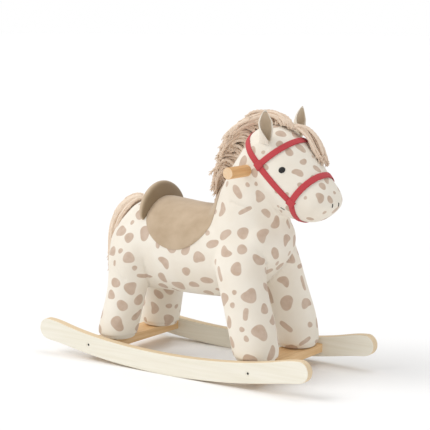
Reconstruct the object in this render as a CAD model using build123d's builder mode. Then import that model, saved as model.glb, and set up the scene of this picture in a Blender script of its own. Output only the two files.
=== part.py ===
"""Plush toddler rocking horse: stuffed fabric horse over a wooden frame, on two plywood rockers.

Units are millimetres. +X points to the horse's nose, +Z up, and the origin lies on the floor
below the middle of the rockers. The horse's right side is at -Y.
"""
import os
from math import atan2, cos, degrees, hypot, radians, sin, sqrt

from build123d import *

os.makedirs("parts", exist_ok=True)

# ---------------------------------------------------------------- driving dimensions
OVERALL_LENGTH = 670.0  # tip to tip of the rockers
OVERALL_WIDTH = 280.0  # over the rockers' outer faces
ROCKER_THICKNESS = 18.0
ROCKER_RADIUS = 1466.0  # of the rolling edge
ROCKER_DEPTH = 42.0  # beam height at mid length
ROCKER_EDGE_ROUND = 1.5

BOARD_X = 186.0  # centre of each crossboard, before and behind the middle
BOARD_WIDTH = 58.0
BOARD_THICKNESS = 18.0
BOARD_BOTTOM = 25.0
BOARD_TOP = BOARD_BOTTOM + BOARD_THICKNESS
INNER_WIDTH = OVERALL_WIDTH - 2 * ROCKER_THICKNESS

BOLT_X = 200.0
BOLT_RADIUS = 3.0
BOLT_LENGTH = 55.0  # below the head
BOLT_HEAD_RADIUS = 5.5
BOLT_HEAD_DEPTH = 4.0
BARREL_NUT_RADIUS = 5.0
BARREL_NUT_LENGTH = 14.0
BARREL_NUT_INSET = 26.0  # from the board's end
LOCATOR_X = 172.0
LOCATOR_RADIUS = 4.0
LOCATOR_LENGTH = 40.0
LOCATOR_IN_ROCKER = 12.0

FRONT_FOOT = (179.0, 80.0)  # where a leg post stands on its board
REAR_FOOT = (-171.0, 76.0)
POST_RADIUS = 14.0
BLOCK_BOTTOM = 214.0
BLOCK_HEIGHT = 36.0
SHOULDER_BLOCK = (140.0, 56.0, 116.0)  # centre X, length, width
HIP_BLOCK = (-140.0, 56.0, 104.0)
RAIL_TOP = BLOCK_BOTTOM + BLOCK_HEIGHT + 22.0
RAIL_WIDTH = 50.0
SEAT_BOARD = (-40.0, 140.0, 110.0, 12.0)  # centre X, length, width, thickness
LEG_SCREW_RADIUS = 3.0
LEG_SCREW_LENGTH = 45.0
WOOD_SCREW_RADIUS = 2.5
WOOD_SCREW_LENGTH = 40.0

HANDLE_X = 150.5
HANDLE_Z = 420.5
HANDLE_RADIUS = 11.5
NECK_POST = (42.0, 40.0)  # length, width
NECK_POST_TOP = HANDLE_Z + 28.0
HANDLE_GAP = 0.1  # between the dowel and its bore
GUSSET_LEG = 66.0
GUSSET_THICKNESS = 18.0

INNER_GAP = 0.4  # between filling and frame
COVER_GAP = 0.3  # between trims and the plush
SADDLE_CENTRE = (-21.0, 338.0)  # of the round flap, in side view
SADDLE_FLAP = (87.0, 90.0)
SADDLE_THICKNESS = 3.0
CANTLE_X = -107.0
CANTLE_DEPTH = 26.0
CANTLE_CREST = 376.0
CANTLE_TIP_Z = 296.0
STRAP_WIDTH = 13.0
STRAP_THICKNESS = 1.6
EYE_RADIUS = 6.0

# ---------------------------------------------------------------- plush outlines
# Each row is a cross-section: upper point (x, z), lower point (x, z) and half width.
TORSO_ROWS = [
    (-222, 240, -222, 226, 12), (-214, 266, -216, 192, 44), (-194, 296, -201, 162, 66),
    (-160, 328, -168, 148, 79), (-110, 342, -115, 144, 86), (-50, 337, -55, 144, 87),
    (0, 333, 0, 144, 86), (50, 334, 50, 145, 85), (110, 336, 110, 150, 84),
    (160, 334, 160, 165, 80), (186, 316, 186, 192, 62), (198, 284, 198, 232, 26),
]
NECK_ROWS = [
    (22, 262, 196, 262, 84), (30, 312, 196, 285, 80), (44, 350, 195, 318, 74),
    (66, 395, 197, 350, 73), (90, 432, 205, 385, 75), (113, 462, 214, 425, 74),
    (133, 484, 219, 462, 66), (156, 498, 210, 490, 40),
]
HEAD_ROWS = [
    (114, 468, 113, 442, 20), (128, 490, 130, 402, 56), (155, 506, 152, 366, 72),
    (190, 504, 178, 341, 76), (224, 483, 205, 327, 73), (254, 450, 233, 321, 66),
    (278, 418, 259, 319, 60), (298, 393, 282, 325, 54), (308, 372, 300, 340, 38),
    (311, 358, 309, 350, 9),
]
# Each row of a leg is (x, y, z, half length, half width).
FRONT_LEG_ROWS = [
    (179, 79, 43.3, 35, 35), (181, 78, 52, 44, 42), (180, 79, 68, 48, 47), (173, 80, 107, 50, 50),
    (162, 79, 147, 50, 50), (150, 77, 186, 54, 50), (139, 70, 225, 58, 50), (130, 55, 262, 56, 45),
]
REAR_LEG_ROWS = [
    (-171, 76, 43.3, 34, 34), (-171, 76, 52, 41, 41), (-168, 76, 66, 44, 44),
    (-161, 74, 96, 45, 44), (-152, 70, 138, 44, 43), (-146, 66, 182, 48, 45),
    (-142, 58, 225, 56, 48), (-138, 46, 262, 56, 45),
]


def section_from_points(row, grow=0.0):
    """Return the centre, half height and half width, and the plane, of one outline row."""
    x_up, z_up, x_low, z_low, half_width = row
    half_height = hypot(x_up - x_low, z_up - z_low) / 2
    upward = Vector((x_up - x_low) / (2 * half_height), 0, (z_up - z_low) / (2 * half_height))
    centre = Vector((x_up + x_low) / 2, 0, (z_up + z_low) / 2)
    plane = Plane(origin=centre, x_dir=upward, z_dir=upward.cross(Vector(0, 1, 0)))
    return plane, half_height + grow, half_width + grow


def stuffed_form(rows, grow=0.0):
    """Return a closed stuffed shape lofted through elliptical sections, swollen by grow."""
    with BuildPart() as form:
        for row in rows:
            plane, half_height, half_width = section_from_points(row, grow)
            with BuildSketch(plane):
                Ellipse(half_height, half_width)
        loft()
    return form.part


def leg_form(rows, side):
    """Return one leg lofted through level ellipses; side is -1 for the right and +1 for the left."""
    with BuildPart() as form:
        for x, y, z, half_length, half_width in rows:
            with BuildSketch(Plane(origin=(x, side * y, z))):
                Ellipse(half_length, half_width)
        loft()
    return form.part


def finish(builder, name):
    """Label a finished part and write it to its STEP file."""
    builder.part.label = name
    export_step(builder.part, f"parts/{name}.step")
    print(f"{name:26s} {len(builder.part.solids()):2d} solids {builder.part.volume / 1000:9.2f} cm3")


SIDES = {"right": -1, "left": 1}

# ---------------------------------------------------------------- rockers
HALF_LENGTH = OVERALL_LENGTH / 2
SOLE_END = 262.0  # where the rolling edge ends and the shallow waist before the tip begins
SOLE_RISE = ROCKER_RADIUS - sqrt(ROCKER_RADIUS**2 - SOLE_END**2)
SOLE_SLOPE = SOLE_END / ROCKER_RADIUS
TIP_LOW = (HALF_LENGTH - 13, 33.5)
TIP_MIDDLE = (HALF_LENGTH, 55.0)
TIP_HIGH = (HALF_LENGTH - 17, 75.0)
WAIST = (298.0, 29.0)
SHOULDER = (259.0, 66.0)
TOP_ARC_END = (150.0, 49.5)


def mirrored(point):
    """Return the point reflected to the rear end of the rocker."""
    return (-point[0], point[1])


for side_name, side in SIDES.items():
    with BuildPart() as rocker:
        with BuildSketch(Plane.XZ.offset(-side * OVERALL_WIDTH / 2)):
            with BuildLine():
                sole_end = (SOLE_END, SOLE_RISE)
                ThreePointArc(mirrored(sole_end), (0, 0), sole_end)
                Spline(sole_end, WAIST, TIP_LOW, tangents=[(1, SOLE_SLOPE), (1, 0.45)])
                ThreePointArc(TIP_LOW, TIP_MIDDLE, TIP_HIGH)
                Spline(TIP_HIGH, SHOULDER, TOP_ARC_END, tangents=[(-1, 0), (-1, -0.1)])
                ThreePointArc(TOP_ARC_END, (0, ROCKER_DEPTH), mirrored(TOP_ARC_END))
                Spline(mirrored(TOP_ARC_END), mirrored(SHOULDER), mirrored(TIP_HIGH),
                       tangents=[(-1, 0.1), (-1, 0)])
                ThreePointArc(mirrored(TIP_HIGH), mirrored(TIP_MIDDLE), mirrored(TIP_LOW))
                Spline(mirrored(TIP_LOW), mirrored(WAIST), mirrored(sole_end),
                       tangents=[(1, -0.45), (1, -SOLE_SLOPE)])
            make_face()
        extrude(amount=side * ROCKER_THICKNESS)
        rims = rocker.edges().filter_by(GeomType.LINE, reverse=True)
        fillet(rims, ROCKER_EDGE_ROUND)
        outer_face = Plane(origin=(0, side * OVERALL_WIDTH / 2, 0), x_dir=(-side, 0, 0),
                           z_dir=(0, side, 0))
        board_middle = BOARD_BOTTOM + BOARD_THICKNESS / 2
        with Locations(*[outer_face * Location((x, board_middle, 0)) for x in (-BOLT_X, BOLT_X)]):
            CounterBoreHole(BOLT_RADIUS + 0.1, BOLT_HEAD_RADIUS + 0.1, BOLT_HEAD_DEPTH,
                            depth=ROCKER_THICKNESS)
        inner_face = Plane(origin=(0, side * INNER_WIDTH / 2, 0), x_dir=(side, 0, 0),
                           z_dir=(0, -side, 0))
        with Locations(*[inner_face * Location((x, board_middle, 0)) for x in (-LOCATOR_X, LOCATOR_X)]):
            Hole(LOCATOR_RADIUS + 0.05, depth=LOCATOR_IN_ROCKER)
    finish(rocker, f"rocker_{side_name}")

# ---------------------------------------------------------------- crossboards
BOARD_MIDDLE_Z = BOARD_BOTTOM + BOARD_THICKNESS / 2
for board_name, end, foot in (("front", 1, FRONT_FOOT), ("rear", -1, REAR_FOOT)):
    with BuildPart() as board:
        with BuildSketch(Plane.XY.offset(BOARD_BOTTOM)):
            with Locations((end * BOARD_X, 0)):
                Rectangle(BOARD_WIDTH, INNER_WIDTH)
        extrude(amount=BOARD_THICKNESS)
        fillet(board.edges().filter_by(Axis.Y), 1.5)
        for side in SIDES.values():
            end_face = Plane(origin=(0, side * INNER_WIDTH / 2, BOARD_MIDDLE_Z), x_dir=(side, 0, 0),
                             z_dir=(0, side, 0))
            bolt_reach = BOLT_LENGTH - (ROCKER_THICKNESS - BOLT_HEAD_DEPTH)
            with Locations(end_face * Location((side * end * BOLT_X, 0, 0))):
                Hole(BOLT_RADIUS + 0.1, depth=bolt_reach + 2)
            with Locations(end_face * Location((side * end * LOCATOR_X, 0, 0))):
                Hole(LOCATOR_RADIUS + 0.05, depth=LOCATOR_LENGTH - LOCATOR_IN_ROCKER)
        underside = Plane(origin=(0, 0, BOARD_BOTTOM), x_dir=(1, 0, 0), z_dir=(0, 0, -1))
        nut_places = [(end * BOLT_X, -side * (INNER_WIDTH / 2 - BARREL_NUT_INSET)) for side in (-1, 1)]
        with Locations(*[underside * Location((x, y, 0)) for x, y in nut_places]):
            Hole(BARREL_NUT_RADIUS + 0.1, depth=BARREL_NUT_LENGTH + 1)
        with Locations(*[underside * Location((foot[0], side * foot[1], 0)) for side in (-1, 1)]):
            CounterSinkHole(LEG_SCREW_RADIUS + 0.1, 2 * LEG_SCREW_RADIUS, depth=BOARD_THICKNESS)
    finish(board, f"{board_name}_crossboard")

with BuildPart() as rocker_bolts:
    for end in (-1, 1):
        for side in SIDES.values():
            head_plane = Plane(origin=(end * BOLT_X, side * OVERALL_WIDTH / 2, BOARD_MIDDLE_Z),
                               x_dir=(1, 0, 0), z_dir=(0, side, 0))
            with BuildSketch(head_plane.offset(-BOLT_HEAD_DEPTH)):
                Circle(BOLT_HEAD_RADIUS)
            extrude(amount=BOLT_HEAD_DEPTH - 0.2)
            with BuildSketch(head_plane.offset(-BOLT_HEAD_DEPTH)):
                Circle(BOLT_RADIUS)
            extrude(amount=-BOLT_LENGTH)
            with BuildSketch(head_plane):
                RegularPolygon(2.9, 6)
            extrude(amount=-BOLT_HEAD_DEPTH + 1, mode=Mode.SUBTRACT)
finish(rocker_bolts, "rocker_bolts")

with BuildPart() as barrel_nuts:
    nut_bottom = BOARD_BOTTOM + 1
    with BuildSketch(Plane.XY.offset(nut_bottom)):
        with GridLocations(2 * BOLT_X, INNER_WIDTH - 2 * BARREL_NUT_INSET, 2, 2):
            Circle(BARREL_NUT_RADIUS)
    extrude(amount=BARREL_NUT_LENGTH)
    with BuildSketch(Plane.XZ.offset(-INNER_WIDTH / 2)):
        with Locations((-BOLT_X, BOARD_MIDDLE_Z), (BOLT_X, BOARD_MIDDLE_Z)):
            Circle(BOLT_RADIUS + 0.1)
    extrude(amount=INNER_WIDTH, mode=Mode.SUBTRACT)
finish(barrel_nuts, "barrel_nuts")

with BuildPart() as locating_dowels:
    for side in SIDES.values():
        blind_end = side * (INNER_WIDTH / 2 + LOCATOR_IN_ROCKER)
        with BuildSketch(Plane(origin=(0, blind_end, 0), x_dir=(1, 0, 0), z_dir=(0, side, 0))):
            with Locations((-LOCATOR_X, -side * BOARD_MIDDLE_Z), (LOCATOR_X, -side * BOARD_MIDDLE_Z)):
                Circle(LOCATOR_RADIUS)
        extrude(amount=-LOCATOR_LENGTH + 0.5)
finish(locating_dowels, "locating_dowels")

# ---------------------------------------------------------------- wooden frame inside the horse
BLOCKS = {"shoulder": SHOULDER_BLOCK, "hip": HIP_BLOCK}
BLOCK_TOP = BLOCK_BOTTOM + BLOCK_HEIGHT
POST_HEAD_SPREAD = {"front": (143.0, 42.0), "rear": (-141.0, 36.0)}  # post axis at the block
FRAME_SCREWS = [(-155, 0), (-125, 0), (115, 0), (127, 0)]


def post_axis(end_name, side):
    """Return the lower and upper points of one leg post's axis."""
    foot = FRONT_FOOT if end_name == "front" else REAR_FOOT
    head = POST_HEAD_SPREAD[end_name]
    lower = Vector(foot[0], side * foot[1], BOARD_TOP)
    upper = Vector(head[0], side * head[1], BLOCK_BOTTOM)
    return lower, upper


for end_name in ("front", "rear"):
    for side_name, side in SIDES.items():
        lower, upper = post_axis(end_name, side)
        with BuildPart() as post:
            with BuildSketch(Plane(origin=lower)):
                Circle(POST_RADIUS)
            with BuildSketch(Plane(origin=upper)):
                Circle(POST_RADIUS)
            loft(ruled=True)
            screw_floor = Plane(origin=lower, x_dir=(1, 0, 0), z_dir=(0, 0, -1))
            with Locations(screw_floor):
                Hole(LEG_SCREW_RADIUS + 0.1, depth=LEG_SCREW_LENGTH - BOARD_THICKNESS + 2)
        finish(post, f"leg_post_{end_name}_{side_name}")

with BuildPart() as leg_screws:
    for foot in (FRONT_FOOT, REAR_FOOT):
        for side in SIDES.values():
            with BuildSketch(Plane(origin=(foot[0], side * foot[1], BOARD_BOTTOM + 0.2))):
                Circle(LEG_SCREW_RADIUS)
            extrude(amount=LEG_SCREW_LENGTH)
            with BuildSketch(Plane(origin=(foot[0], side * foot[1], BOARD_BOTTOM + 0.2))):
                Circle(2 * LEG_SCREW_RADIUS - 0.4)
            extrude(amount=2.6, taper=44)
finish(leg_screws, "leg_screws")

for block_name, (centre_x, length, width) in BLOCKS.items():
    with BuildPart() as block:
        with BuildSketch(Plane.XY.offset(BLOCK_BOTTOM)):
            with Locations((centre_x, 0)):
                RectangleRounded(length, width, 8)
        extrude(amount=BLOCK_HEIGHT)
        deck = Plane.XY.offset(BLOCK_TOP)
        screw_spots = [(x, y) for x, y in FRAME_SCREWS if abs(x - centre_x) < length / 2]
        with Locations(*[deck * Location((x, y, 0)) for x, y in screw_spots]):
            Hole(WOOD_SCREW_RADIUS + 0.1, depth=WOOD_SCREW_LENGTH - 22 + 2)
    finish(block, f"{block_name}_block")

RAIL_LENGTH = 320.0
with BuildPart() as spine_rail:
    with BuildSketch(Plane.XY.offset(BLOCK_TOP)):
        RectangleRounded(RAIL_LENGTH, RAIL_WIDTH, 6)
    extrude(amount=RAIL_TOP - BLOCK_TOP)
    with Locations(*[Plane.XY.offset(RAIL_TOP) * Location((x, y, 0)) for x, y in FRAME_SCREWS]):
        Hole(WOOD_SCREW_RADIUS + 0.1, depth=RAIL_TOP - BLOCK_TOP)
finish(spine_rail, "spine_rail")

with BuildPart() as frame_screws:
    for x, y in FRAME_SCREWS:
        head_top = RAIL_TOP + (2.0 if x < 0 else 0.0)
        with BuildSketch(Plane(origin=(x, y, RAIL_TOP - WOOD_SCREW_LENGTH))):
            Circle(WOOD_SCREW_RADIUS)
        extrude(amount=WOOD_SCREW_LENGTH)
        if x < 0:
            with BuildSketch(Plane(origin=(x, y, RAIL_TOP))):
                Circle(2 * WOOD_SCREW_RADIUS)
            extrude(amount=2.0)
finish(frame_screws, "frame_screws")

seat_x, seat_length, seat_width, seat_thickness = SEAT_BOARD
with BuildPart() as seat_board:
    with BuildSketch(Plane.XY.offset(RAIL_TOP)):
        with Locations((seat_x, 0)):
            RectangleRounded(seat_length, seat_width, 30)
    extrude(amount=seat_thickness)
    fillet(seat_board.edges().group_by(Axis.Z)[-1], 3)
finish(seat_board, "seat_board")

post_length, post_width = NECK_POST
with BuildPart() as neck_post:
    with BuildSketch(Plane.XY.offset(RAIL_TOP)):
        with Locations((HANDLE_X - 2, 0)):
            RectangleRounded(post_length, post_width, 5)
    extrude(amount=NECK_POST_TOP - RAIL_TOP)
    with BuildSketch(Plane.XZ):
        with Locations((HANDLE_X, HANDLE_Z)):
            Circle(HANDLE_RADIUS + HANDLE_GAP)
    extrude(amount=post_width, both=True, mode=Mode.SUBTRACT)
    pin_face = Plane(origin=(HANDLE_X, 0, NECK_POST_TOP), x_dir=(1, 0, 0), z_dir=(0, 0, 1))
    with Locations(pin_face):
        Hole(WOOD_SCREW_RADIUS + 0.1, depth=NECK_POST_TOP - HANDLE_Z)
finish(neck_post, "neck_post")

with BuildPart() as neck_gusset:
    heel = (HANDLE_X - 2 - post_length / 2, RAIL_TOP)
    with BuildSketch(Plane.XZ):
        with BuildLine():
            Polyline(heel, (heel[0], heel[1] + GUSSET_LEG), (heel[0] - 12, heel[1] + GUSSET_LEG),
                     (heel[0] - GUSSET_LEG, heel[1] + 12), (heel[0] - GUSSET_LEG, heel[1]), close=True)
        make_face()
    extrude(amount=GUSSET_THICKNESS / 2, both=True)
finish(neck_gusset, "neck_gusset")

with BuildPart() as handle_dowel:
    with BuildSketch(Plane.XZ):
        with Locations((HANDLE_X, HANDLE_Z)):
            Circle(HANDLE_RADIUS)
    extrude(amount=OVERALL_WIDTH / 2, both=True)
    fillet(handle_dowel.edges().filter_by(GeomType.CIRCLE), 1.2)
    with Locations(Plane(origin=(HANDLE_X, 0, HANDLE_Z + HANDLE_RADIUS))):
        Hole(WOOD_SCREW_RADIUS + 0.1, depth=HANDLE_RADIUS + 4)
finish(handle_dowel, "handle_dowel")

with BuildPart() as handle_screw:
    with BuildSketch(Plane(origin=(HANDLE_X, 0, HANDLE_Z - 3))):
        Circle(WOOD_SCREW_RADIUS)
    extrude(amount=NECK_POST_TOP - HANDLE_Z + 3)
    with BuildSketch(Plane(origin=(HANDLE_X, 0, NECK_POST_TOP))):
        Circle(2 * WOOD_SCREW_RADIUS)
    extrude(amount=2.5)
finish(handle_screw, "handle_screw")

# ---------------------------------------------------------------- room for the frame in the filling
with BuildPart() as frame_room:
    for end_name in ("front", "rear"):
        for side in SIDES.values():
            lower, upper = post_axis(end_name, side)
            below = lower - (upper - lower) * (2 / (BLOCK_BOTTOM - BOARD_TOP))
            with BuildSketch(Plane(origin=below)):
                Circle(POST_RADIUS + INNER_GAP)
            with BuildSketch(Plane(origin=upper)):
                Circle(POST_RADIUS + INNER_GAP)
            loft(ruled=True)
    for centre_x, length, width in BLOCKS.values():
        with BuildSketch(Plane.XY.offset(BLOCK_BOTTOM - INNER_GAP)):
            with Locations((centre_x, 0)):
                Rectangle(length + 2 * INNER_GAP, width + 2 * INNER_GAP)
        extrude(amount=BLOCK_HEIGHT + 2 * INNER_GAP)
    with BuildSketch(Plane.XY.offset(BLOCK_TOP)):
        Rectangle(RAIL_LENGTH + 2 * INNER_GAP, RAIL_WIDTH + 2 * INNER_GAP)
    extrude(amount=RAIL_TOP - BLOCK_TOP + 2 + INNER_GAP)
    with BuildSketch(Plane.XY.offset(RAIL_TOP)):
        with Locations((seat_x, 0)):
            Rectangle(seat_length + 2 * INNER_GAP, seat_width + 2 * INNER_GAP)
    extrude(amount=seat_thickness + INNER_GAP)
    with BuildSketch(Plane.XY.offset(RAIL_TOP)):
        with Locations((HANDLE_X - 2, 0)):
            Rectangle(post_length + 2 * INNER_GAP, post_width + 2 * INNER_GAP)
    extrude(amount=NECK_POST_TOP - RAIL_TOP + 2.5 + INNER_GAP)
    with BuildSketch(Plane.XY.offset(RAIL_TOP)):
        with Locations((heel[0] - GUSSET_LEG / 2, 0)):
            Rectangle(GUSSET_LEG + 2 * INNER_GAP, GUSSET_THICKNESS + 2 * INNER_GAP)
    extrude(amount=GUSSET_LEG + INNER_GAP)
    with BuildSketch(Plane.XZ):
        with Locations((HANDLE_X, HANDLE_Z)):
            Circle(HANDLE_RADIUS + INNER_GAP)
    extrude(amount=OVERALL_WIDTH, both=True)
frame_space = frame_room.part

# ---------------------------------------------------------------- stuffed horse
torso_blank = stuffed_form(TORSO_ROWS)
neck_blank = stuffed_form(NECK_ROWS)
head_blank = stuffed_form(HEAD_ROWS)

# The tail's sewn root is a roll that turns in a pocket of the rump.
TAIL_PIVOT = (-158.0, 333.0)
TAIL_ROLL_RADIUS = 14.0
TAIL_ROLL_LENGTH = 26.0
TAIL_GAP = 0.6


def tail_roll(grow):
    """Return the tail's root roll, swollen by grow."""
    with BuildPart() as roll:
        with BuildSketch(Plane.XZ):
            with Locations(TAIL_PIVOT):
                Circle(TAIL_ROLL_RADIUS + grow)
        extrude(amount=TAIL_ROLL_LENGTH / 2 + grow, both=True)
    return roll.part


with BuildPart() as torso:
    add(torso_blank)
    add(frame_space, mode=Mode.SUBTRACT)
    add(tail_roll(TAIL_GAP), mode=Mode.SUBTRACT)
finish(torso, "torso")

with BuildPart() as neck:
    add(neck_blank)
    add(torso_blank, mode=Mode.SUBTRACT)
    add(frame_space, mode=Mode.SUBTRACT)
finish(neck, "neck")

with BuildPart() as head:
    add(head_blank)
    add(torso_blank, mode=Mode.SUBTRACT)
    add(neck_blank, mode=Mode.SUBTRACT)
    add(frame_space, mode=Mode.SUBTRACT)
finish(head, "head")

for end_name, rows in (("front", FRONT_LEG_ROWS), ("rear", REAR_LEG_ROWS)):
    for side_name, side in SIDES.items():
        with BuildPart() as leg:
            add(leg_form(rows, side))
            add(torso_blank, mode=Mode.SUBTRACT)
            add(frame_space, mode=Mode.SUBTRACT)
        finish(leg, f"leg_{end_name}_{side_name}")

# ---------------------------------------------------------------- saddle
with BuildPart() as saddle_pad:
    add(stuffed_form(TORSO_ROWS, SADDLE_THICKNESS))
    with BuildSketch(Plane.XZ):
        with Locations(SADDLE_CENTRE):
            Ellipse(*SADDLE_FLAP)
    extrude(amount=OVERALL_WIDTH, both=True, mode=Mode.INTERSECT)
    add(torso_blank, mode=Mode.SUBTRACT)
    add(neck_blank, mode=Mode.SUBTRACT)
finish(saddle_pad, "saddle_pad")

with BuildPart() as saddle_backrest:
    arch_plane = Plane(origin=(CANTLE_X, 0, CANTLE_TIP_Z), x_dir=(0, 1, 0), z_dir=(-1, 0, 0.14))
    with BuildSketch(arch_plane.offset(-CANTLE_DEPTH / 2)):
        Ellipse(87, CANTLE_CREST - CANTLE_TIP_Z)
    extrude(amount=CANTLE_DEPTH)
    fillet(saddle_backrest.edges(), 10)
    with BuildSketch(Plane.XY.offset(CANTLE_TIP_Z - 4)):
        Rectangle(OVERALL_LENGTH, OVERALL_WIDTH)
    extrude(amount=-OVERALL_WIDTH, mode=Mode.SUBTRACT)
    add(torso_blank, mode=Mode.SUBTRACT)
    add(saddle_pad.part, mode=Mode.SUBTRACT)
finish(saddle_backrest, "saddle_backrest")

# ---------------------------------------------------------------- ears
EAR_ROOT = (186.0, 57.0, 484.0)
EAR_TIP = (193.0, 71.0, 540.0)
EAR_WIDTHS = [(0.0, 15.0, 5.0), (0.3, 18.0, 5.5), (0.62, 14.0, 4.5), (0.88, 7.0, 3.0), (1.0, 2.2, 1.5)]
EAR_FACING = 20.0  # degrees outwards from straight ahead
LINING_SCALE = 0.8


def ear_form(side, lining):
    """Return one leaf-shaped ear, or the thin lining that covers its open face."""
    facing = radians(EAR_FACING)
    forward = Vector(cos(facing), side * sin(facing), 0)
    across = Vector(-side * sin(facing), cos(facing), 0)
    with BuildPart() as form:
        for share, half_width, half_thickness in EAR_WIDTHS:
            x, y, z = (a + (b - a) * share for a, b in zip(EAR_ROOT, EAR_TIP))
            middle = Vector(x, side * y, z)
            if lining:
                middle = middle + forward * (half_thickness + 0.6)
                half_width, half_thickness = half_width * LINING_SCALE, 1.2
            with BuildSketch(Plane(origin=middle, x_dir=across, z_dir=(0, 0, 1))):
                Ellipse(half_width, half_thickness)
        loft()
    return form.part


for side_name, side in SIDES.items():
    with BuildPart() as ear:
        add(ear_form(side, lining=False))
        add(head_blank, mode=Mode.SUBTRACT)
        add(neck_blank, mode=Mode.SUBTRACT)
    finish(ear, f"ear_{side_name}")
    with BuildPart() as ear_lining:
        add(ear_form(side, lining=True))
        add(ear.part, mode=Mode.SUBTRACT)
        add(head_blank, mode=Mode.SUBTRACT)
        add(neck_blank, mode=Mode.SUBTRACT)
    finish(ear_lining, f"ear_lining_{side_name}")

# ---------------------------------------------------------------- bridle of woven webbing
CHEEK_CROSSING = (179.5, 432.5)  # where the brow band meets the headstall, in side view
NOSE_CROSSING = (245.5, 363.0)  # where the nose band meets it
BROW_TOP = (228.0, 477.0)
NOSE_TOP = (285.0, 417.0)
CHIN = (243.0, 320.0)
headstall_angle = degrees(atan2(NOSE_CROSSING[1] - CHEEK_CROSSING[1],
                                NOSE_CROSSING[0] - CHEEK_CROSSING[0]))
brow_angle = degrees(atan2(BROW_TOP[1] - CHEEK_CROSSING[1], BROW_TOP[0] - CHEEK_CROSSING[0]))
nose_angle = degrees(atan2(NOSE_TOP[1] - NOSE_CROSSING[1], NOSE_TOP[0] - NOSE_CROSSING[0]))
chin_angle = degrees(atan2(CHIN[1] - NOSE_CROSSING[1], CHIN[0] - NOSE_CROSSING[0]))
BAND_REACH = 130.0


def grown_head(grow):
    """Return the head and upper neck together, swollen by grow."""
    with BuildPart() as form:
        add(stuffed_form(HEAD_ROWS, grow))
        add(stuffed_form(NECK_ROWS[3:], grow))
    return form.part


strap_skin = grown_head(STRAP_THICKNESS)
keeper_skin = grown_head(2 * STRAP_THICKNESS)

with BuildPart() as headstall:
    add(strap_skin)
    with BuildSketch(Plane.XZ):
        with Locations(Location(NOSE_CROSSING + (0,), (0, 0, headstall_angle))):
            Rectangle(2 * BAND_REACH, STRAP_WIDTH, align=(Align.MAX, Align.CENTER))
        with Locations(Location(NOSE_CROSSING + (0,), (0, 0, chin_angle))):
            Rectangle(BAND_REACH / 2, STRAP_WIDTH, align=(Align.MIN, Align.CENTER))
        with Locations(NOSE_CROSSING):
            Circle(STRAP_WIDTH / 2)
    extrude(amount=OVERALL_WIDTH, both=True, mode=Mode.INTERSECT)
    add(head_blank, mode=Mode.SUBTRACT)
    add(neck_blank, mode=Mode.SUBTRACT)
    add(torso_blank, mode=Mode.SUBTRACT)
finish(headstall, "headstall_strap")

BANDS = {"brow_band": (CHEEK_CROSSING, brow_angle), "nose_band": (NOSE_CROSSING, nose_angle)}
for band_name, (start, angle) in BANDS.items():
    lead = (STRAP_WIDTH / 2) / sin(radians(angle - headstall_angle))
    middle = (start[0] + (lead + BAND_REACH / 2) * cos(radians(angle)),
              start[1] + (lead + BAND_REACH / 2) * sin(radians(angle)))
    with BuildPart() as band:
        add(strap_skin)
        with BuildSketch(Plane.XZ):
            with Locations(Location(middle + (0,), (0, 0, angle))):
                Rectangle(BAND_REACH, STRAP_WIDTH)
        extrude(amount=OVERALL_WIDTH, both=True, mode=Mode.INTERSECT)
        add(headstall.part, mode=Mode.SUBTRACT)
        add(head_blank, mode=Mode.SUBTRACT)
        add(neck_blank, mode=Mode.SUBTRACT)
    finish(band, band_name)

with BuildPart() as strap_keepers:
    add(keeper_skin)
    with BuildSketch(Plane.XZ):
        for start, angle in BANDS.values():
            with Locations(Location(start + (0,), (0, 0, angle))):
                Rectangle(STRAP_WIDTH + 2, STRAP_WIDTH + 2)
    extrude(amount=OVERALL_WIDTH, both=True, mode=Mode.INTERSECT)
    add(strap_skin, mode=Mode.SUBTRACT)
finish(strap_keepers, "strap_keepers")

# ---------------------------------------------------------------- face
EYE_SPOT = (227.0, 426.0)
NOSTRIL_SPOT = (306.0, 12.0, 357.0)
MOUTH_SPOT = (222.0, 349.0)
with BuildPart() as eyes:
    with BuildSketch(Plane.XZ):
        with Locations(EYE_SPOT):
            Circle(EYE_RADIUS)
    extrude(amount=73.5, both=True)
    fillet(eyes.edges().filter_by(GeomType.CIRCLE), 2)
    add(head_blank, mode=Mode.SUBTRACT)
finish(eyes, "eyes")

with BuildPart() as nostril_stitches:
    for side in SIDES.values():
        with BuildSketch(Plane.YZ.offset(295)):
            with Locations(Location((side * NOSTRIL_SPOT[1], NOSTRIL_SPOT[2], 0), (0, 0, side * 12))):
                SlotOverall(8, 2, rotation=90)
        extrude(amount=30)
    add(stuffed_form(HEAD_ROWS, 0.8), mode=Mode.INTERSECT)
    add(head_blank, mode=Mode.SUBTRACT)
finish(nostril_stitches, "nostril_stitches")

with BuildPart() as mouth_stitches:
    with BuildSketch(Plane.XZ):
        with Locations(Location(MOUTH_SPOT + (0,), (0, 0, -32))):
            SlotOverall(14, 1.8)
    extrude(amount=OVERALL_WIDTH, both=True)
    add(stuffed_form(HEAD_ROWS, 0.8), mode=Mode.INTERSECT)
    add(head_blank, mode=Mode.SUBTRACT)
finish(mouth_stitches, "mouth_stitches")

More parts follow.
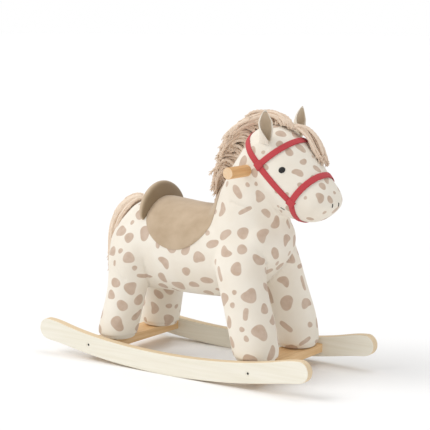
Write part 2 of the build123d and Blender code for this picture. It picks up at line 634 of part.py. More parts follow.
# ---------------------------------------------------------------- yarn hair
MANE_EDGE = [(30, 342), (44, 385), (50, 425), (60, 458), (80, 480), (94, 508), (130, 530),
             (165, 536), (198, 538), (218, 526)]
MANE_ROOT = [(212, 500), (150, 470), (100, 410), (66, 350)]
MANE_RIGHT_REACH = 36.0
MANE_LEFT_REACH = 24.0
with BuildPart() as mane:
    with BuildSketch(Plane.XZ.offset(-MANE_LEFT_REACH)):
        with BuildLine():
            Spline(*MANE_EDGE)
            Polyline(MANE_EDGE[-1], *MANE_ROOT, MANE_EDGE[0])
        make_face()
    extrude(amount=MANE_LEFT_REACH + MANE_RIGHT_REACH)
    add(torso_blank, mode=Mode.SUBTRACT)
    add(neck_blank, mode=Mode.SUBTRACT)
    add(head_blank, mode=Mode.SUBTRACT)
    add(headstall.part, mode=Mode.SUBTRACT)
finish(mane, "mane")

FORELOCK_EDGE = [(213, 516), (236, 500), (254, 474), (268, 446), (270, 432)]
FORELOCK_ROOT = [(256, 428), (226, 470), (206, 490)]
with BuildPart() as forelock:
    with BuildSketch(Plane.XZ.offset(-46)):
        with BuildLine():
            Spline(*FORELOCK_EDGE)
            Polyline(FORELOCK_EDGE[-1], *FORELOCK_ROOT, FORELOCK_EDGE[0])
        make_face()
    extrude(amount=34)
    for blank in (head_blank, neck_blank, strap_skin, mane.part):
        add(blank, mode=Mode.SUBTRACT)
finish(forelock, "forelock")

TAIL_ROWS = [
    (-156, 346, -152, 322, 9), (-182, 349, -173, 320, 13), (-212, 341, -194, 305, 17),
    (-236, 319, -210, 287, 18), (-250, 290, -222, 264, 18), (-257, 255, -231, 242, 17),
    (-260, 220, -240, 213, 13), (-258, 186, -250, 184, 7),
]
with BuildPart() as tail:
    add(stuffed_form(TAIL_ROWS))
    add(stuffed_form(TORSO_ROWS, TAIL_GAP), mode=Mode.SUBTRACT)
    add(tail_roll(0))
finish(tail, "tail")
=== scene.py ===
"""Looks of a stuffed toddler rocking horse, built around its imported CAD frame.

Everything is in metres, +X towards the nose, +Z up, with the horse's right side at -Y.
"""

import logging
import math
from dataclasses import dataclass, field
from enum import Enum
from typing import Any, Sequence

import bpy
import numpy as np
from mathutils import Matrix, Vector


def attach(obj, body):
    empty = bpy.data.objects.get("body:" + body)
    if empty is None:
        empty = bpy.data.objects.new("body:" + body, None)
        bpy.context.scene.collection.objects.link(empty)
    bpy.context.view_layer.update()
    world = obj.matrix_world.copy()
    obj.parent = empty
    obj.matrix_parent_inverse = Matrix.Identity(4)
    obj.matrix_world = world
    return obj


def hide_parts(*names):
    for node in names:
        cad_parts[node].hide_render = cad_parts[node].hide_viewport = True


MM = 0.001
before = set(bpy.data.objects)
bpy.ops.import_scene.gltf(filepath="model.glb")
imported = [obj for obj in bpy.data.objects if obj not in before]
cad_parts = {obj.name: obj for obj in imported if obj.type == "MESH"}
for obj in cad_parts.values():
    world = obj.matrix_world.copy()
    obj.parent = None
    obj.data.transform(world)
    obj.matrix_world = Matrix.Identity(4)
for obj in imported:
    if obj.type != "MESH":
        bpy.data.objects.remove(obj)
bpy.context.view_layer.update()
LOG = logging.getLogger("rocking_horse")
HORSE_BODY = "horse"
TAIL_BODY = "tail"


# ---------------------------------------------------------------- small helpers
def linear(code: str) -> tuple[float, float, float, float]:
    """Turn an sRGB hex colour into the linear colour that a shader socket takes.

    Args:
        code: six hex digits, with or without a leading hash.

    Returns:
        Linear red, green, blue and an alpha of one.
    """
    digits = code.lstrip("#")
    channels = [int(digits[i:i + 2], 16) / 255 for i in (0, 2, 4)]
    curved = [c / 12.92 if c <= 0.04045 else ((c + 0.055) / 1.055) ** 2.4 for c in channels]
    return (*curved, 1.0)


def add_node(tree: bpy.types.NodeTree, kind: str, settings: dict[str, Any] | None = None,
             **inputs: Any) -> bpy.types.Node:
    """Add a shader node, set its properties and fill or link its inputs.

    Args:
        tree: the material's node tree.
        kind: the node's type, without the leading "ShaderNode".
        settings: property names and values.
        inputs: socket names, with spaces as underscores, or i0, i1 for sockets by number; a
            value that is a socket is linked, and any other is set.

    Returns:
        The new node.
    """
    node = tree.nodes.new("ShaderNode" + kind)
    for name, value in (settings or {}).items():
        setattr(node, name, value)
    for name, value in inputs.items():
        by_number = name[0] == "i" and name[1:].isdigit()
        socket = node.inputs[int(name[1:]) if by_number else name.replace("_", " ")]
        if isinstance(value, bpy.types.NodeSocket):
            tree.links.new(value, socket)
        else:
            socket.default_value = value
    return node


def smooth_rows(rows: np.ndarray, steps: int) -> np.ndarray:
    """Carry a smooth curve through table rows, column by column.

    Each column is a cubic Hermite curve over the rows' spacing, whose slope at a row is the
    weighted harmonic mean of its two chords, and nothing where the chords change sign.

    Args:
        rows: one row per station.
        steps: samples between two stations.

    Returns:
        The rows and the samples between them.
    """
    gaps = np.linalg.norm(np.diff(rows[:, :3], axis=0), axis=1)
    places = np.concatenate([[0], np.cumsum(gaps)])
    chords = np.diff(rows, axis=0) / gaps[:, None]
    before, after = chords[:-1], chords[1:]
    weight_a = (2 * gaps[1:] + gaps[:-1])[:, None]
    weight_b = (gaps[1:] + 2 * gaps[:-1])[:, None]
    same = before * after > 0
    safe_before = np.where(same, before, 1.0)
    safe_after = np.where(same, after, 1.0)
    middle = (weight_a + weight_b) / (weight_a / safe_before + weight_b / safe_after)
    slopes = np.vstack([chords[:1], np.where(same, middle, 0.0), chords[-1:]])
    fine = np.linspace(0, places[-1], (len(rows) - 1) * steps + 1)
    cell = np.clip(np.searchsorted(places, fine, side="right") - 1, 0, len(gaps) - 1)
    width = gaps[cell][:, None]
    s = ((fine - places[cell]) / gaps[cell])[:, None]
    return ((1 + 2 * s) * (1 - s) ** 2 * rows[cell] + s * (1 - s) ** 2 * width * slopes[cell]
            + s ** 2 * (3 - 2 * s) * rows[cell + 1] + s ** 2 * (s - 1) * width * slopes[cell + 1])


def placed(name: str, mesh: bpy.types.Mesh) -> bpy.types.Object:
    """Make an object of a mesh and link it to the scene.

    Args:
        name: the object's name.
        mesh: its mesh.

    Returns:
        The object, at the origin.
    """
    obj = bpy.data.objects.new(name, mesh)
    bpy.context.scene.collection.objects.link(obj)
    return obj


def store(mesh: bpy.types.Mesh, name: str, values: np.ndarray) -> None:
    """Store one number for each vertex as an attribute that a material can read."""
    attribute = mesh.attributes.new(name, "FLOAT", "POINT")
    attribute.data.foreach_set("value", values.astype(np.float32))


def grid_mesh(name: str, points: np.ndarray, round_u: bool = False, round_v: bool = False,
              uv_size: tuple[float, float] | None = None) -> bpy.types.Object:
    """Make a mesh object from a grid of points.

    Args:
        name: the object's name.
        points: an array of shape (rows, columns, 3).
        round_u: whether the last row joins the first.
        round_v: whether the last column joins the first.
        uv_size: metres along a row step and a column step for one UV unit, or None.

    Returns:
        The object, linked to the scene.
    """
    rows, columns = points.shape[:2]
    row_ids = np.arange(rows if round_u else rows - 1)
    column_ids = np.arange(columns if round_v else columns - 1)
    r, c = np.meshgrid(row_ids, column_ids, indexing="ij")
    r2, c2 = (r + 1) % rows, (c + 1) % columns
    quads = np.stack([r * columns + c, r * columns + c2, r2 * columns + c2, r2 * columns + c], -1)
    mesh = bpy.data.meshes.new(name)
    mesh.from_pydata(points.reshape(-1, 3).tolist(), [], quads.reshape(-1, 4).tolist())
    if uv_size:
        layer = mesh.uv_layers.new(name="along")
        corner_r = np.stack([r, r, r + 1, r + 1], -1) / max(rows - 1, 1)
        corner_c = np.stack([c, c + 1, c + 1, c], -1) / max(columns - 1, 1)
        flat = np.stack([corner_r * uv_size[0], corner_c * uv_size[1]], -1).reshape(-1)
        layer.data.foreach_set("uv", flat.astype(np.float32))
    mesh.update()
    return placed(name, mesh)


def vertex_array(obj: bpy.types.Object) -> np.ndarray:
    """Read the vertices' places.

    Args:
        obj: a mesh object.

    Returns:
        The places, of shape (count, 3).
    """
    flat = np.empty(len(obj.data.vertices) * 3, np.float32)
    obj.data.vertices.foreach_get("co", flat)
    return flat.reshape(-1, 3).astype(float)


def normal_array(obj: bpy.types.Object) -> np.ndarray:
    """Read the vertices' normals.

    Args:
        obj: a mesh object.

    Returns:
        The unit normals, of shape (count, 3).
    """
    flat = np.empty(len(obj.data.vertices) * 3, np.float32)
    obj.data.vertex_normals.foreach_get("vector", flat)
    return flat.reshape(-1, 3).astype(float)


def set_vertices(obj: bpy.types.Object, places: np.ndarray) -> None:
    """Write new vertex places into the object's mesh."""
    obj.data.vertices.foreach_set("co", places.astype(np.float32).ravel())
    obj.data.update()


def bake_modifiers(obj: bpy.types.Object) -> bpy.types.Object:
    """Replace the object's mesh with what its modifiers make of it, and drop them.

    Args:
        obj: a mesh object with modifiers.

    Returns:
        The same object.
    """
    graph = bpy.context.evaluated_depsgraph_get()
    made = bpy.data.meshes.new_from_object(obj.evaluated_get(graph), depsgraph=graph)
    obj.modifiers.clear()
    obj.data = made
    return obj


def subdivided(obj: bpy.types.Object) -> bpy.types.Object:
    """Subdivide the object's surface once, smoothly, and keep the result."""
    add_modifier(obj, "SUBSURF", levels=1, render_levels=1)
    return bake_modifiers(obj)


def shade_smooth(obj: bpy.types.Object) -> bpy.types.Object:
    """Turn on smooth shading for every face."""
    obj.data.polygons.foreach_set("use_smooth", np.ones(len(obj.data.polygons), bool))
    return obj


def add_modifier(obj: bpy.types.Object, kind: str, **settings: Any) -> bpy.types.Modifier:
    """Add a modifier and set its properties.

    Args:
        obj: the object.
        kind: the modifier's type.
        settings: property names and values.

    Returns:
        The new modifier.
    """
    modifier = obj.modifiers.new(kind.lower(), kind)
    for name, value in settings.items():
        setattr(modifier, name, value)
    return modifier


def joined(name: str, objects: Sequence[bpy.types.Object]) -> bpy.types.Object:
    """Join several mesh objects into one.

    Args:
        name: the joined object's name.
        objects: the objects to join.

    Returns:
        The joined object, which was the first of them.
    """
    for other in bpy.context.selected_objects:
        other.select_set(False)
    for obj in objects:
        obj.select_set(True)
    bpy.context.view_layer.objects.active = objects[0]
    bpy.ops.object.join()
    objects[0].name = name
    objects[0].data.name = name
    return objects[0]


def dress(obj: bpy.types.Object, material: bpy.types.Material, body: str,
          replaced: Sequence[str] = ()) -> bpy.types.Object:
    """Give a finished piece its material, smooth shading and body, and hide the CAD nodes that it stands
    for.

    Args:
        obj: the piece.
        material: its finish.
        body: the CAD body that it rides on.
        replaced: CAD nodes that it stands for.

    Returns:
        The same piece.
    """
    obj.data.materials.clear()
    obj.data.materials.append(material)
    if obj.type == "MESH":
        shade_smooth(obj)
    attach(obj, body)
    if replaced:
        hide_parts(*replaced)
    LOG.info("%s: %d vertices", obj.name, len(obj.data.vertices))
    return obj


# ---------------------------------------------------------------- finishes
@dataclass(frozen=True)
class Finish:
    """Base of every finish: a name and a Principled shader with fine relief."""

    name: str
    roughness: float = 0.9
    sheen: float = 0.0
    relief: float = 0.3

    def material(self) -> bpy.types.Material:
        """Make the material.

        Returns:
            The new node-based material.
        """
        made = bpy.data.materials.new(self.name)
        made.use_nodes = True
        tree = made.node_tree
        shader = tree.nodes["Principled BSDF"]
        shader.inputs["Roughness"].default_value = self.roughness
        if self.sheen:
            shader.inputs["Sheen Weight"].default_value = self.sheen
            shader.inputs["Sheen Roughness"].default_value = 0.45
        place = add_node(tree, "TexCoord").outputs
        colour, height, depth = self.pattern(tree, place)
        tree.links.new(colour, shader.inputs["Base Color"])
        bump = add_node(tree, "Bump", Strength=self.relief, Distance=depth, Height=height)
        tree.links.new(bump.outputs["Normal"], shader.inputs["Normal"])
        return made

    def pattern(self, tree: bpy.types.NodeTree, place: Any) -> tuple[Any, Any, float]:
        """Build the colour and the relief.

        Args:
            tree: the material's node tree.
            place: outputs of its Texture Coordinate node.

        Returns:
            The colour socket, the height socket and the relief's depth in metres.
        """
        raise NotImplementedError


def mottle(tree: bpy.types.NodeTree, vector: Any, pale: str, deep: str, size: float,
           detail: float = 3.0, low: float = 0.35, high: float = 0.65) -> Any:
    """Mix two colours by a soft noise.

    Args:
        tree: the material's node tree.
        vector: the coordinate socket.
        pale: hex colour where the noise is low.
        deep: hex colour where it is high.
        size: width of a patch in metres.
        detail: octaves of the noise.
        low: noise value that is all pale.
        high: noise value that is all deep.

    Returns:
        The colour socket.
    """
    noise = add_node(tree, "TexNoise", Vector=vector, Scale=1 / size, Detail=detail)
    ramp = add_node(tree, "MapRange", i0=noise.outputs["Fac"], i1=low, i2=high)
    mix = add_node(tree, "Mix", {"data_type": "RGBA"}, i0=ramp.outputs[0], i6=linear(pale),
                   i7=linear(deep))
    return mix.outputs[2]


@dataclass(frozen=True)
class SpottedCotton(Finish):
    """Cream cotton twill with pigment-printed beige spots; matt, with a faint dry weave."""

    cream: str = "#EEE7DA"
    cream_deep: str = "#E9E0D1"
    print_pale: str = "#CDB8A6"
    print_deep: str = "#C3AB97"
    edge: float = 0.7 * MM
    thread: float = 1.6 * MM  # real threads are 0.3 mm; drawn coarser so that they show

    def pattern(self, tree: bpy.types.NodeTree, place: Any) -> tuple[Any, Any, float]:
        """Build the print from the signed distance to a spot's edge, over a soft weave.

        Args:
            tree: the material's node tree.
            place: outputs of its Texture Coordinate node.

        Returns:
            The colour socket, the height socket and the relief's depth in metres.
        """
        spot = add_node(tree, "Attribute", {"attribute_name": "spot"})
        inked = add_node(tree, "MapRange", i0=spot.outputs["Fac"], i1=self.edge, i2=-self.edge)
        ground = mottle(tree, place["Object"], self.cream, self.cream_deep, 60 * MM)
        ink = mottle(tree, place["Object"], self.print_pale, self.print_deep, 14 * MM)
        colour = add_node(tree, "Mix", {"data_type": "RGBA"}, i0=inked.outputs[0], i6=ground, i7=ink)
        weave = add_node(tree, "TexNoise", Vector=place["Object"], Scale=1 / self.thread, Detail=2.0)
        return colour.outputs[2], weave.outputs["Fac"], 0.5 * MM


@dataclass(frozen=True)
class Velvet(Finish):
    """Short-pile polyester velvet; the brushed pile lightens and darkens it in soft patches, and painted
    shade darkens the faces that a vertex attribute marks.
    """

    pale: str = "#C4AE93"
    deep: str = "#B59E82"
    painted_shade: str = "#76603F"  # painted shade colour, mixed in where the painted front shade attribute is set

    def pattern(self, tree: bpy.types.NodeTree, place: Any) -> tuple[Any, Any, float]:
        """Build broad brushed strokes over a fine pile, with painted shade mixed in by a vertex
        attribute.

        Args:
            tree: the material's node tree.
            place: outputs of its Texture Coordinate node.

        Returns:
            The colour socket, the height socket and the relief's depth in metres.
        """
        painted_front_shade = add_node(tree, "Attribute", {"attribute_name": "painted_front_shade"})
        brushed = mottle(tree, place["Object"], self.pale, self.deep, 38 * MM, detail=4.0)
        # painted shade: the attribute blends the velvet towards the dark shade colour
        colour = add_node(tree, "Mix", {"data_type": "RGBA"}, i0=painted_front_shade.outputs["Fac"], i6=brushed,
                          i7=linear(self.painted_shade)).outputs[2]
        pile = add_node(tree, "TexNoise", Vector=place["Object"], Scale=1 / (1.5 * MM), Detail=3.0)
        return colour, pile.outputs["Fac"], 0.5 * MM


@dataclass(frozen=True)
class Webbing(Finish):
    """Woven cotton tape, dyed red, with cross ribs whose grooves carry painted shade."""

    pale: str = "#CE4B51"
    deep: str = "#BB3A41"
    rib: float = 1.6 * MM

    def pattern(self, tree: bpy.types.NodeTree, place: Any) -> tuple[Any, Any, float]:
        """Build slanting ribs from the tape's own length and width, with painted shade in their grooves.

        Args:
            tree: the material's node tree.
            place: outputs of its Texture Coordinate node.

        Returns:
            The colour socket, the height socket and the relief's depth in metres.
        """
        split = add_node(tree, "SeparateXYZ", Vector=place["UV"])
        slant = add_node(tree, "Math", {"operation": "ADD"}, i0=split.outputs["X"],
                         i1=split.outputs["Y"])
        turns = add_node(tree, "Math", {"operation": "MULTIPLY"}, i0=slant.outputs[0],
                         i1=2 * math.pi / self.rib)
        wave = add_node(tree, "Math", {"operation": "SINE"}, i0=turns.outputs[0])
        level = add_node(tree, "MapRange", i0=wave.outputs[0], i1=-1.0, i2=1.0)
        # The colour follows the relief: woven ribs, with painted shade darkening the grooves.
        colour = add_node(tree, "Mix", {"data_type": "RGBA"}, i0=level.outputs[0],
                          i6=linear(self.deep), i7=linear(self.pale))
        return colour.outputs[2], level.outputs[0], 0.5 * MM


@dataclass(frozen=True)
class Yarn(Finish):
    """Two-ply cotton yarn; each strand takes the dye a little differently."""

    pale: str = "#F1DFCB"
    deep: str = "#D0B59D"

    def pattern(self, tree: bpy.types.NodeTree, place: Any) -> tuple[Any, Any, float]:
        """Build strand-to-strand tone and fine fibres along the strand.

        Args:
            tree: the material's node tree.
            place: outputs of its Texture Coordinate node.

        Returns:
            The colour socket, the height socket and the relief's depth in metres.
        """
        strand = add_node(tree, "Attribute", {"attribute_name": "strand"})
        fibres = add_node(tree, "TexNoise", Vector=place["Object"], Scale=1 / (2.2 * MM), Detail=3.0)
        tone = add_node(tree, "Math", {"operation": "MULTIPLY_ADD"}, i0=fibres.outputs["Fac"],
                        i1=0.45, i2=strand.outputs["Fac"])
        level = add_node(tree, "MapRange", i0=tone.outputs[0], i1=0.15, i2=1.25)
        colour = add_node(tree, "Mix", {"data_type": "RGBA"}, i0=level.outputs[0],
                          i6=linear(self.pale), i7=linear(self.deep))
        return colour.outputs[2], fibres.outputs["Fac"], 0.8 * MM


@dataclass(frozen=True)
class SatinStitch(Finish):
    """Rayon embroidery thread laid side by side; black with a soft gleam."""

    colour: str = "#0E0D0D"

    def pattern(self, tree: bpy.types.NodeTree, place: Any) -> tuple[Any, Any, float]:
        """Build fine parallel threads.

        Args:
            tree: the material's node tree.
            place: outputs of its Texture Coordinate node.

        Returns:
            The colour socket, the height socket and the relief's depth in metres.
        """
        colour = mottle(tree, place["Object"], self.colour, "#1B1919", 1.5 * MM)
        thread = add_node(tree, "TexWave", {"bands_direction": "Z"}, Vector=place["Object"],
                          Scale=1 / (4 * MM))
        return colour, thread.outputs["Fac"], 0.3 * MM


@dataclass(frozen=True)
class Timber(Finish):
    """Planed and oiled wood: long grain along one axis and growth rings on the end grain."""

    pale: str = "#E2B47B"
    deep: str = "#D0A068"
    end: str = "#EACFAE"
    grain: tuple[float, float, float] = (1.0, 0.06, 1.0)
    spacing: float = 5 * MM

    def pattern(self, tree: bpy.types.NodeTree, place: Any) -> tuple[Any, Any, float]:
        """Build stretched grain noise, paler where the surface faces along the grain.

        Args:
            tree: the material's node tree.
            place: outputs of its Texture Coordinate node.

        Returns:
            The colour socket, the height socket and the relief's depth in metres.
        """
        stretch = add_node(tree, "Mapping", Vector=place["Object"], Scale=self.grain)
        lines = mottle(tree, stretch.outputs[0], self.pale, self.deep, self.spacing, detail=5.0)
        facing = add_node(tree, "SeparateXYZ", Vector=place["Normal"])
        along = int(np.argmin(self.grain))
        size = add_node(tree, "Math", {"operation": "ABSOLUTE"}, i0=facing.outputs[along])
        cut = add_node(tree, "MapRange", i0=size.outputs[0], i1=0.7, i2=0.9)
        rings = mottle(tree, place["Object"], self.end, self.pale, 4 * MM, low=0.3, high=1.0)
        colour = add_node(tree, "Mix", {"data_type": "RGBA"}, i0=cut.outputs[0], i6=lines, i7=rings)
        fibre = add_node(tree, "TexNoise", Vector=stretch.outputs[0], Scale=1 / (1.2 * MM), Detail=2.0)
        return colour.outputs[2], fibre.outputs["Fac"], 0.2 * MM


@dataclass(frozen=True)
class BirchPly(Finish):
    """Birch plywood with a white-oiled face veneer and its honey-coloured plies on the edge."""

    face_pale: str = "#EFEADC"
    face_deep: str = "#E9E3D2"
    ply_pale: str = "#EBDBBD"
    ply_deep: str = "#D9BB91"
    ply: float = 18 * MM / 13

    def pattern(self, tree: bpy.types.NodeTree, place: Any) -> tuple[Any, Any, float]:
        """Build faint long grain on the faces and alternating plies across the thickness.

        Args:
            tree: the material's node tree.
            place: outputs of its Texture Coordinate node.

        Returns:
            The colour socket, the height socket and the relief's depth in metres.
        """
        stretch = add_node(tree, "Mapping", Vector=place["Object"], Scale=(0.05, 1.0, 1.0))
        face = mottle(tree, stretch.outputs[0], self.face_pale, self.face_deep, 7 * MM, detail=5.0)
        split = add_node(tree, "SeparateXYZ", Vector=place["Object"])
        turns = add_node(tree, "Math", {"operation": "MULTIPLY"}, i0=split.outputs["Y"],
                         i1=math.pi / self.ply)
        wave = add_node(tree, "Math", {"operation": "SINE"}, i0=turns.outputs[0])
        band = add_node(tree, "MapRange", i0=wave.outputs[0], i1=-0.35, i2=0.35)
        plies = add_node(tree, "Mix", {"data_type": "RGBA"}, i0=band.outputs[0],
                         i6=linear(self.ply_pale), i7=linear(self.ply_deep))
        facing = add_node(tree, "SeparateXYZ", Vector=place["Normal"])
        size = add_node(tree, "Math", {"operation": "ABSOLUTE"}, i0=facing.outputs["Y"])
        flat = add_node(tree, "MapRange", i0=size.outputs[0], i1=0.55, i2=0.8)
        colour = add_node(tree, "Mix", {"data_type": "RGBA"}, i0=flat.outputs[0],
                          i6=plies.outputs[2], i7=face)
        fibre = add_node(tree, "TexNoise", Vector=stretch.outputs[0], Scale=1 / (1.5 * MM), Detail=2.0)
        return colour.outputs[2], fibre.outputs["Fac"], 0.15 * MM


@dataclass(frozen=True)
class ZincSteel(Finish):
    """Zinc-plated steel screw heads, with the plating's fine crystalline mottle."""

    pale: str = "#C9C8C4"
    deep: str = "#A9A8A5"

    def pattern(self, tree: bpy.types.NodeTree, place: Any) -> tuple[Any, Any, float]:
        """Build a fine mottle.

        Args:
            tree: the material's node tree.
            place: outputs of its Texture Coordinate node.

        Returns:
            The colour socket, the height socket and the relief's depth in metres.
        """
        colour = mottle(tree, place["Object"], self.pale, self.deep, 2 * MM)
        grit = add_node(tree, "TexNoise", Vector=place["Object"], Scale=1 / (0.8 * MM))
        return colour, grit.outputs["Fac"], 0.05 * MM

    def material(self) -> bpy.types.Material:
        """Make the material, as a metal."""
        made = super().material()
        made.node_tree.nodes["Principled BSDF"].inputs["Metallic"].default_value = 1.0
        return made


@dataclass(frozen=True)
class EnamelledSteel(Finish):
    """Socket-headed steel bolts with cream enamel on the head; the socket is coloured near black, partly
    its bare steel and partly painted shade in its hollow.
    """

    pale: str = "#EFEADC"
    deep: str = "#E6E0D0"
    # near black: bare steel, darkened further as painted shade in the socket's hollow
    socket: str = "#15130F"
    face: float = 138.6 * MM

    def pattern(self, tree: bpy.types.NodeTree, place: Any) -> tuple[Any, Any, float]:
        """Build enamel on the outermost faces, and below them a near-black colour that is partly bare
        steel and partly painted shade in the hollow.

        Args:
            tree: the material's node tree.
            place: outputs of its Texture Coordinate node.

        Returns:
            The colour socket, the height socket and the relief's depth in metres.
        """
        split = add_node(tree, "SeparateXYZ", Vector=place["Object"])
        out = add_node(tree, "Math", {"operation": "ABSOLUTE"}, i0=split.outputs["Y"])
        # Painted shade: everything more than 0.4 mm below the outer face, the socket's hollow, takes the
        # near-black colour.
        deep = add_node(tree, "MapRange", i0=out.outputs[0], i1=self.face, i2=self.face - 0.4 * MM)
        enamel = mottle(tree, place["Object"], self.pale, self.deep, 6 * MM)
        colour = add_node(tree, "Mix", {"data_type": "RGBA"}, i0=deep.outputs[0], i6=enamel,
                          i7=linear(self.socket))
        grit = add_node(tree, "TexNoise", Vector=place["Object"], Scale=1 / (1 * MM))
        return colour.outputs[2], grit.outputs["Fac"], 0.05 * MM


FINISHES = {
    "spotted_cotton": SpottedCotton("spotted_cotton_twill", sheen=0.15, relief=0.35),
    "saddle_velvet": Velvet("saddle_velvet", roughness=0.85, sheen=0.35, relief=0.4),
    "ear_velvet": Velvet("ear_lining_velvet", sheen=0.25, pale="#C9B8A0", deep="#B9A58B"),
    "red_webbing": Webbing("red_cotton_webbing", roughness=0.85, sheen=0.1, relief=0.5),
    "yarn": Yarn("two_ply_cotton_yarn", sheen=0.2, relief=0.5),
    "black_thread": SatinStitch("black_satin_stitch", roughness=0.5),
    "pale_plywood": BirchPly("white_oiled_birch_plywood", roughness=0.6, relief=0.2),
    "board_wood": Timber("oiled_pine_board", roughness=0.55, relief=0.25, pale="#EAC799",
                         deep="#DDB480", end="#E4C092"),
    "handle_wood": Timber("turned_beech_dowel", roughness=0.45, relief=0.2),
    "frame_wood": Timber("planed_pine_frame", roughness=0.7, pale="#D9BC8C", deep="#C4A06C"),
    "steel": ZincSteel("zinc_plated_steel", roughness=0.35, relief=0.2),
    "bolt_caps": EnamelledSteel("cream_enamelled_steel", roughness=0.5, relief=0.1),
}


# ---------------------------------------------------------------- stuffed shapes
@dataclass
class StuffedForm:
    """A closed stuffed shape: ellipses carried along a line, each in a plane that holds Y.

    A ring's point at angle t is centre + up * half_height * cos t + Y * half_width * sin t.
    """

    centres: np.ndarray
    ups: np.ndarray
    half_heights: np.ndarray
    half_widths: np.ndarray

    @classmethod
    def from_profile(cls, rows: Sequence[Sequence[float]], steps: int = 8) -> "StuffedForm":
        """Make a form from its outline in side view.

        Args:
            rows: upper x, z, lower x, z and half width of each ring, in millimetres.
            steps: rings from one row to the next.

        Returns:
            The form, smooth between the rows.
        """
        table = np.array(rows, float) * MM
        upper, lower = table[:, 0:2], table[:, 2:4]
        middle, reach = (upper + lower) / 2, (upper - lower) / 2
        height = np.linalg.norm(reach, axis=1)
        stacked = np.column_stack([middle[:, 0], np.zeros(len(table)), middle[:, 1],
                                   reach / height[:, None] * MM, height, table[:, 4]])
        fine = smooth_rows(stacked, steps)
        ups = np.column_stack([fine[:, 3], np.zeros(len(fine)), fine[:, 4]])
        ups /= np.linalg.norm(ups, axis=1)[:, None]
        return cls(fine[:, :3], ups, fine[:, 5], fine[:, 6])

    def section(self, x: float) -> tuple[float, float, float]:
        """Return the middle's height, the half height and the half width of the ring nearest x."""
        ring = int(np.argmin(np.abs(self.centres[:, 0] - x)))
        return self.centres[ring, 2], self.half_heights[ring], self.half_widths[ring]

    @classmethod
    def from_levels(cls, rows: Sequence[Sequence[float]], side: int, steps: int = 8) -> "StuffedForm":
        """Make a leg from level rings.

        Args:
            rows: x, y, z, half length and half width of each ring, in millimetres.
            side: -1 for the right leg and 1 for the left.
            steps: rings from one row to the next.

        Returns:
            The leg, smooth between the rows.
        """
        table = np.array(rows, float) * MM
        table[:, 1] *= side
        fine = smooth_rows(table, steps)
        ups = np.tile([1.0, 0.0, 0.0], (len(fine), 1))
        return cls(fine[:, :3], ups, fine[:, 3], fine[:, 4])

    def rings(self, around: int = 96) -> np.ndarray:
        """Work out the surface as a closed grid of rings, drawn in to a point at both ends.

        Args:
            around: points on a ring.

        Returns:
            The points, of shape (rings + 2, around, 3).
        """
        angle = np.linspace(0, 2 * math.pi, around, endpoint=False)
        cosine, sine = np.cos(angle)[None, :, None], np.sin(angle)[None, :, None]
        side = np.array([0.0, 1.0, 0.0])
        high, wide = self.half_heights[:, None, None], self.half_widths[:, None, None]
        made = self.centres[:, None] + self.ups[:, None] * high * cosine + side * wide * sine
        first = np.broadcast_to(self.centres[:1, None], (1, around, 3))
        last = np.broadcast_to(self.centres[-1:, None], (1, around, 3))
        return np.concatenate([first, made, last])

    def outside(self, points: np.ndarray) -> np.ndarray:
        """Work out about how far points lie outside the surface.

        The nearest ring's plane is found for each point, and the distance is radius times
        (1 - 1 / q), where q is the point's radius as a share of the ellipse's.

        Args:
            points: places, of shape (count, 3).

        Returns:
            One distance for each point, negative inside.
        """
        normals = np.cross(self.ups, [0.0, 1.0, 0.0])
        offset = points @ normals.T - np.sum(self.centres * normals, axis=1)
        ring = np.argmin(np.abs(offset), axis=1)
        beyond = np.abs(offset[np.arange(len(points)), ring])
        local = points - self.centres[ring]
        high = np.sum(local * self.ups[ring], axis=1)
        wide = local[:, 1]
        radius = np.hypot(high, wide)
        ratio = np.hypot(high / self.half_heights[ring], wide / self.half_widths[ring])
        gap = radius * (1 - 1 / np.maximum(ratio, 1e-6))
        slack = 6 * MM
        return np.where(beyond > slack, np.hypot(np.maximum(gap, 0), beyond), gap)


class SpotKind(Enum):
    """The printed spots: share, half length and half width ranges in mm, bend, corners, power."""

    DOT = (0.13, (5.0, 7.5), (4.5, 6.5), 0.0, 0.05, 2.0)
    OVAL = (0.40, (10.0, 16.5), (8.0, 12.0), 0.12, 0.05, 2.1)
    ROD = (0.14, (12.0, 17.0), (4.0, 5.5), 0.1, 0.03, 3.4)
    BEAN = (0.15, (13.0, 17.0), (8.0, 10.0), 0.5, 0.07, 2.3)
    PEBBLE = (0.18, (13.5, 18.0), (11.0, 14.0), 0.15, 0.09, 2.2)


@dataclass(frozen=True)
class Spot:
    """One printed spot, in the plane that touches the skin at its middle."""

    half_length: float
    half_width: float
    turn: float
    bend: float
    corners: float
    phase: float
    power: float

    def distance(self, a: np.ndarray, b: np.ndarray) -> np.ndarray:
        """Work out how far places in the plane lie outside the spot.

        Its edge is r(t) = (|cos t / A|^p + |sin t / B|^p)^(-1/p) * (1 + c cos(3 t + f)).

        Args:
            a: first coordinates in the plane, from the spot's middle.
            b: second coordinates.

        Returns:
            Distances in metres, negative inside.
        """
        along = a * math.cos(self.turn) + b * math.sin(self.turn)
        over = b * math.cos(self.turn) - a * math.sin(self.turn)
        over = over - self.bend * self.half_width * ((along / self.half_length) ** 2 - 0.4)
        angle = np.arctan2(over, along)
        ratio = (np.abs(np.cos(angle) / self.half_length) ** self.power
                 + np.abs(np.sin(angle) / self.half_width) ** self.power)
        edge = ratio ** (-1 / self.power) * (1 + self.corners * np.cos(3 * angle + self.phase))
        return np.hypot(along, over) - edge


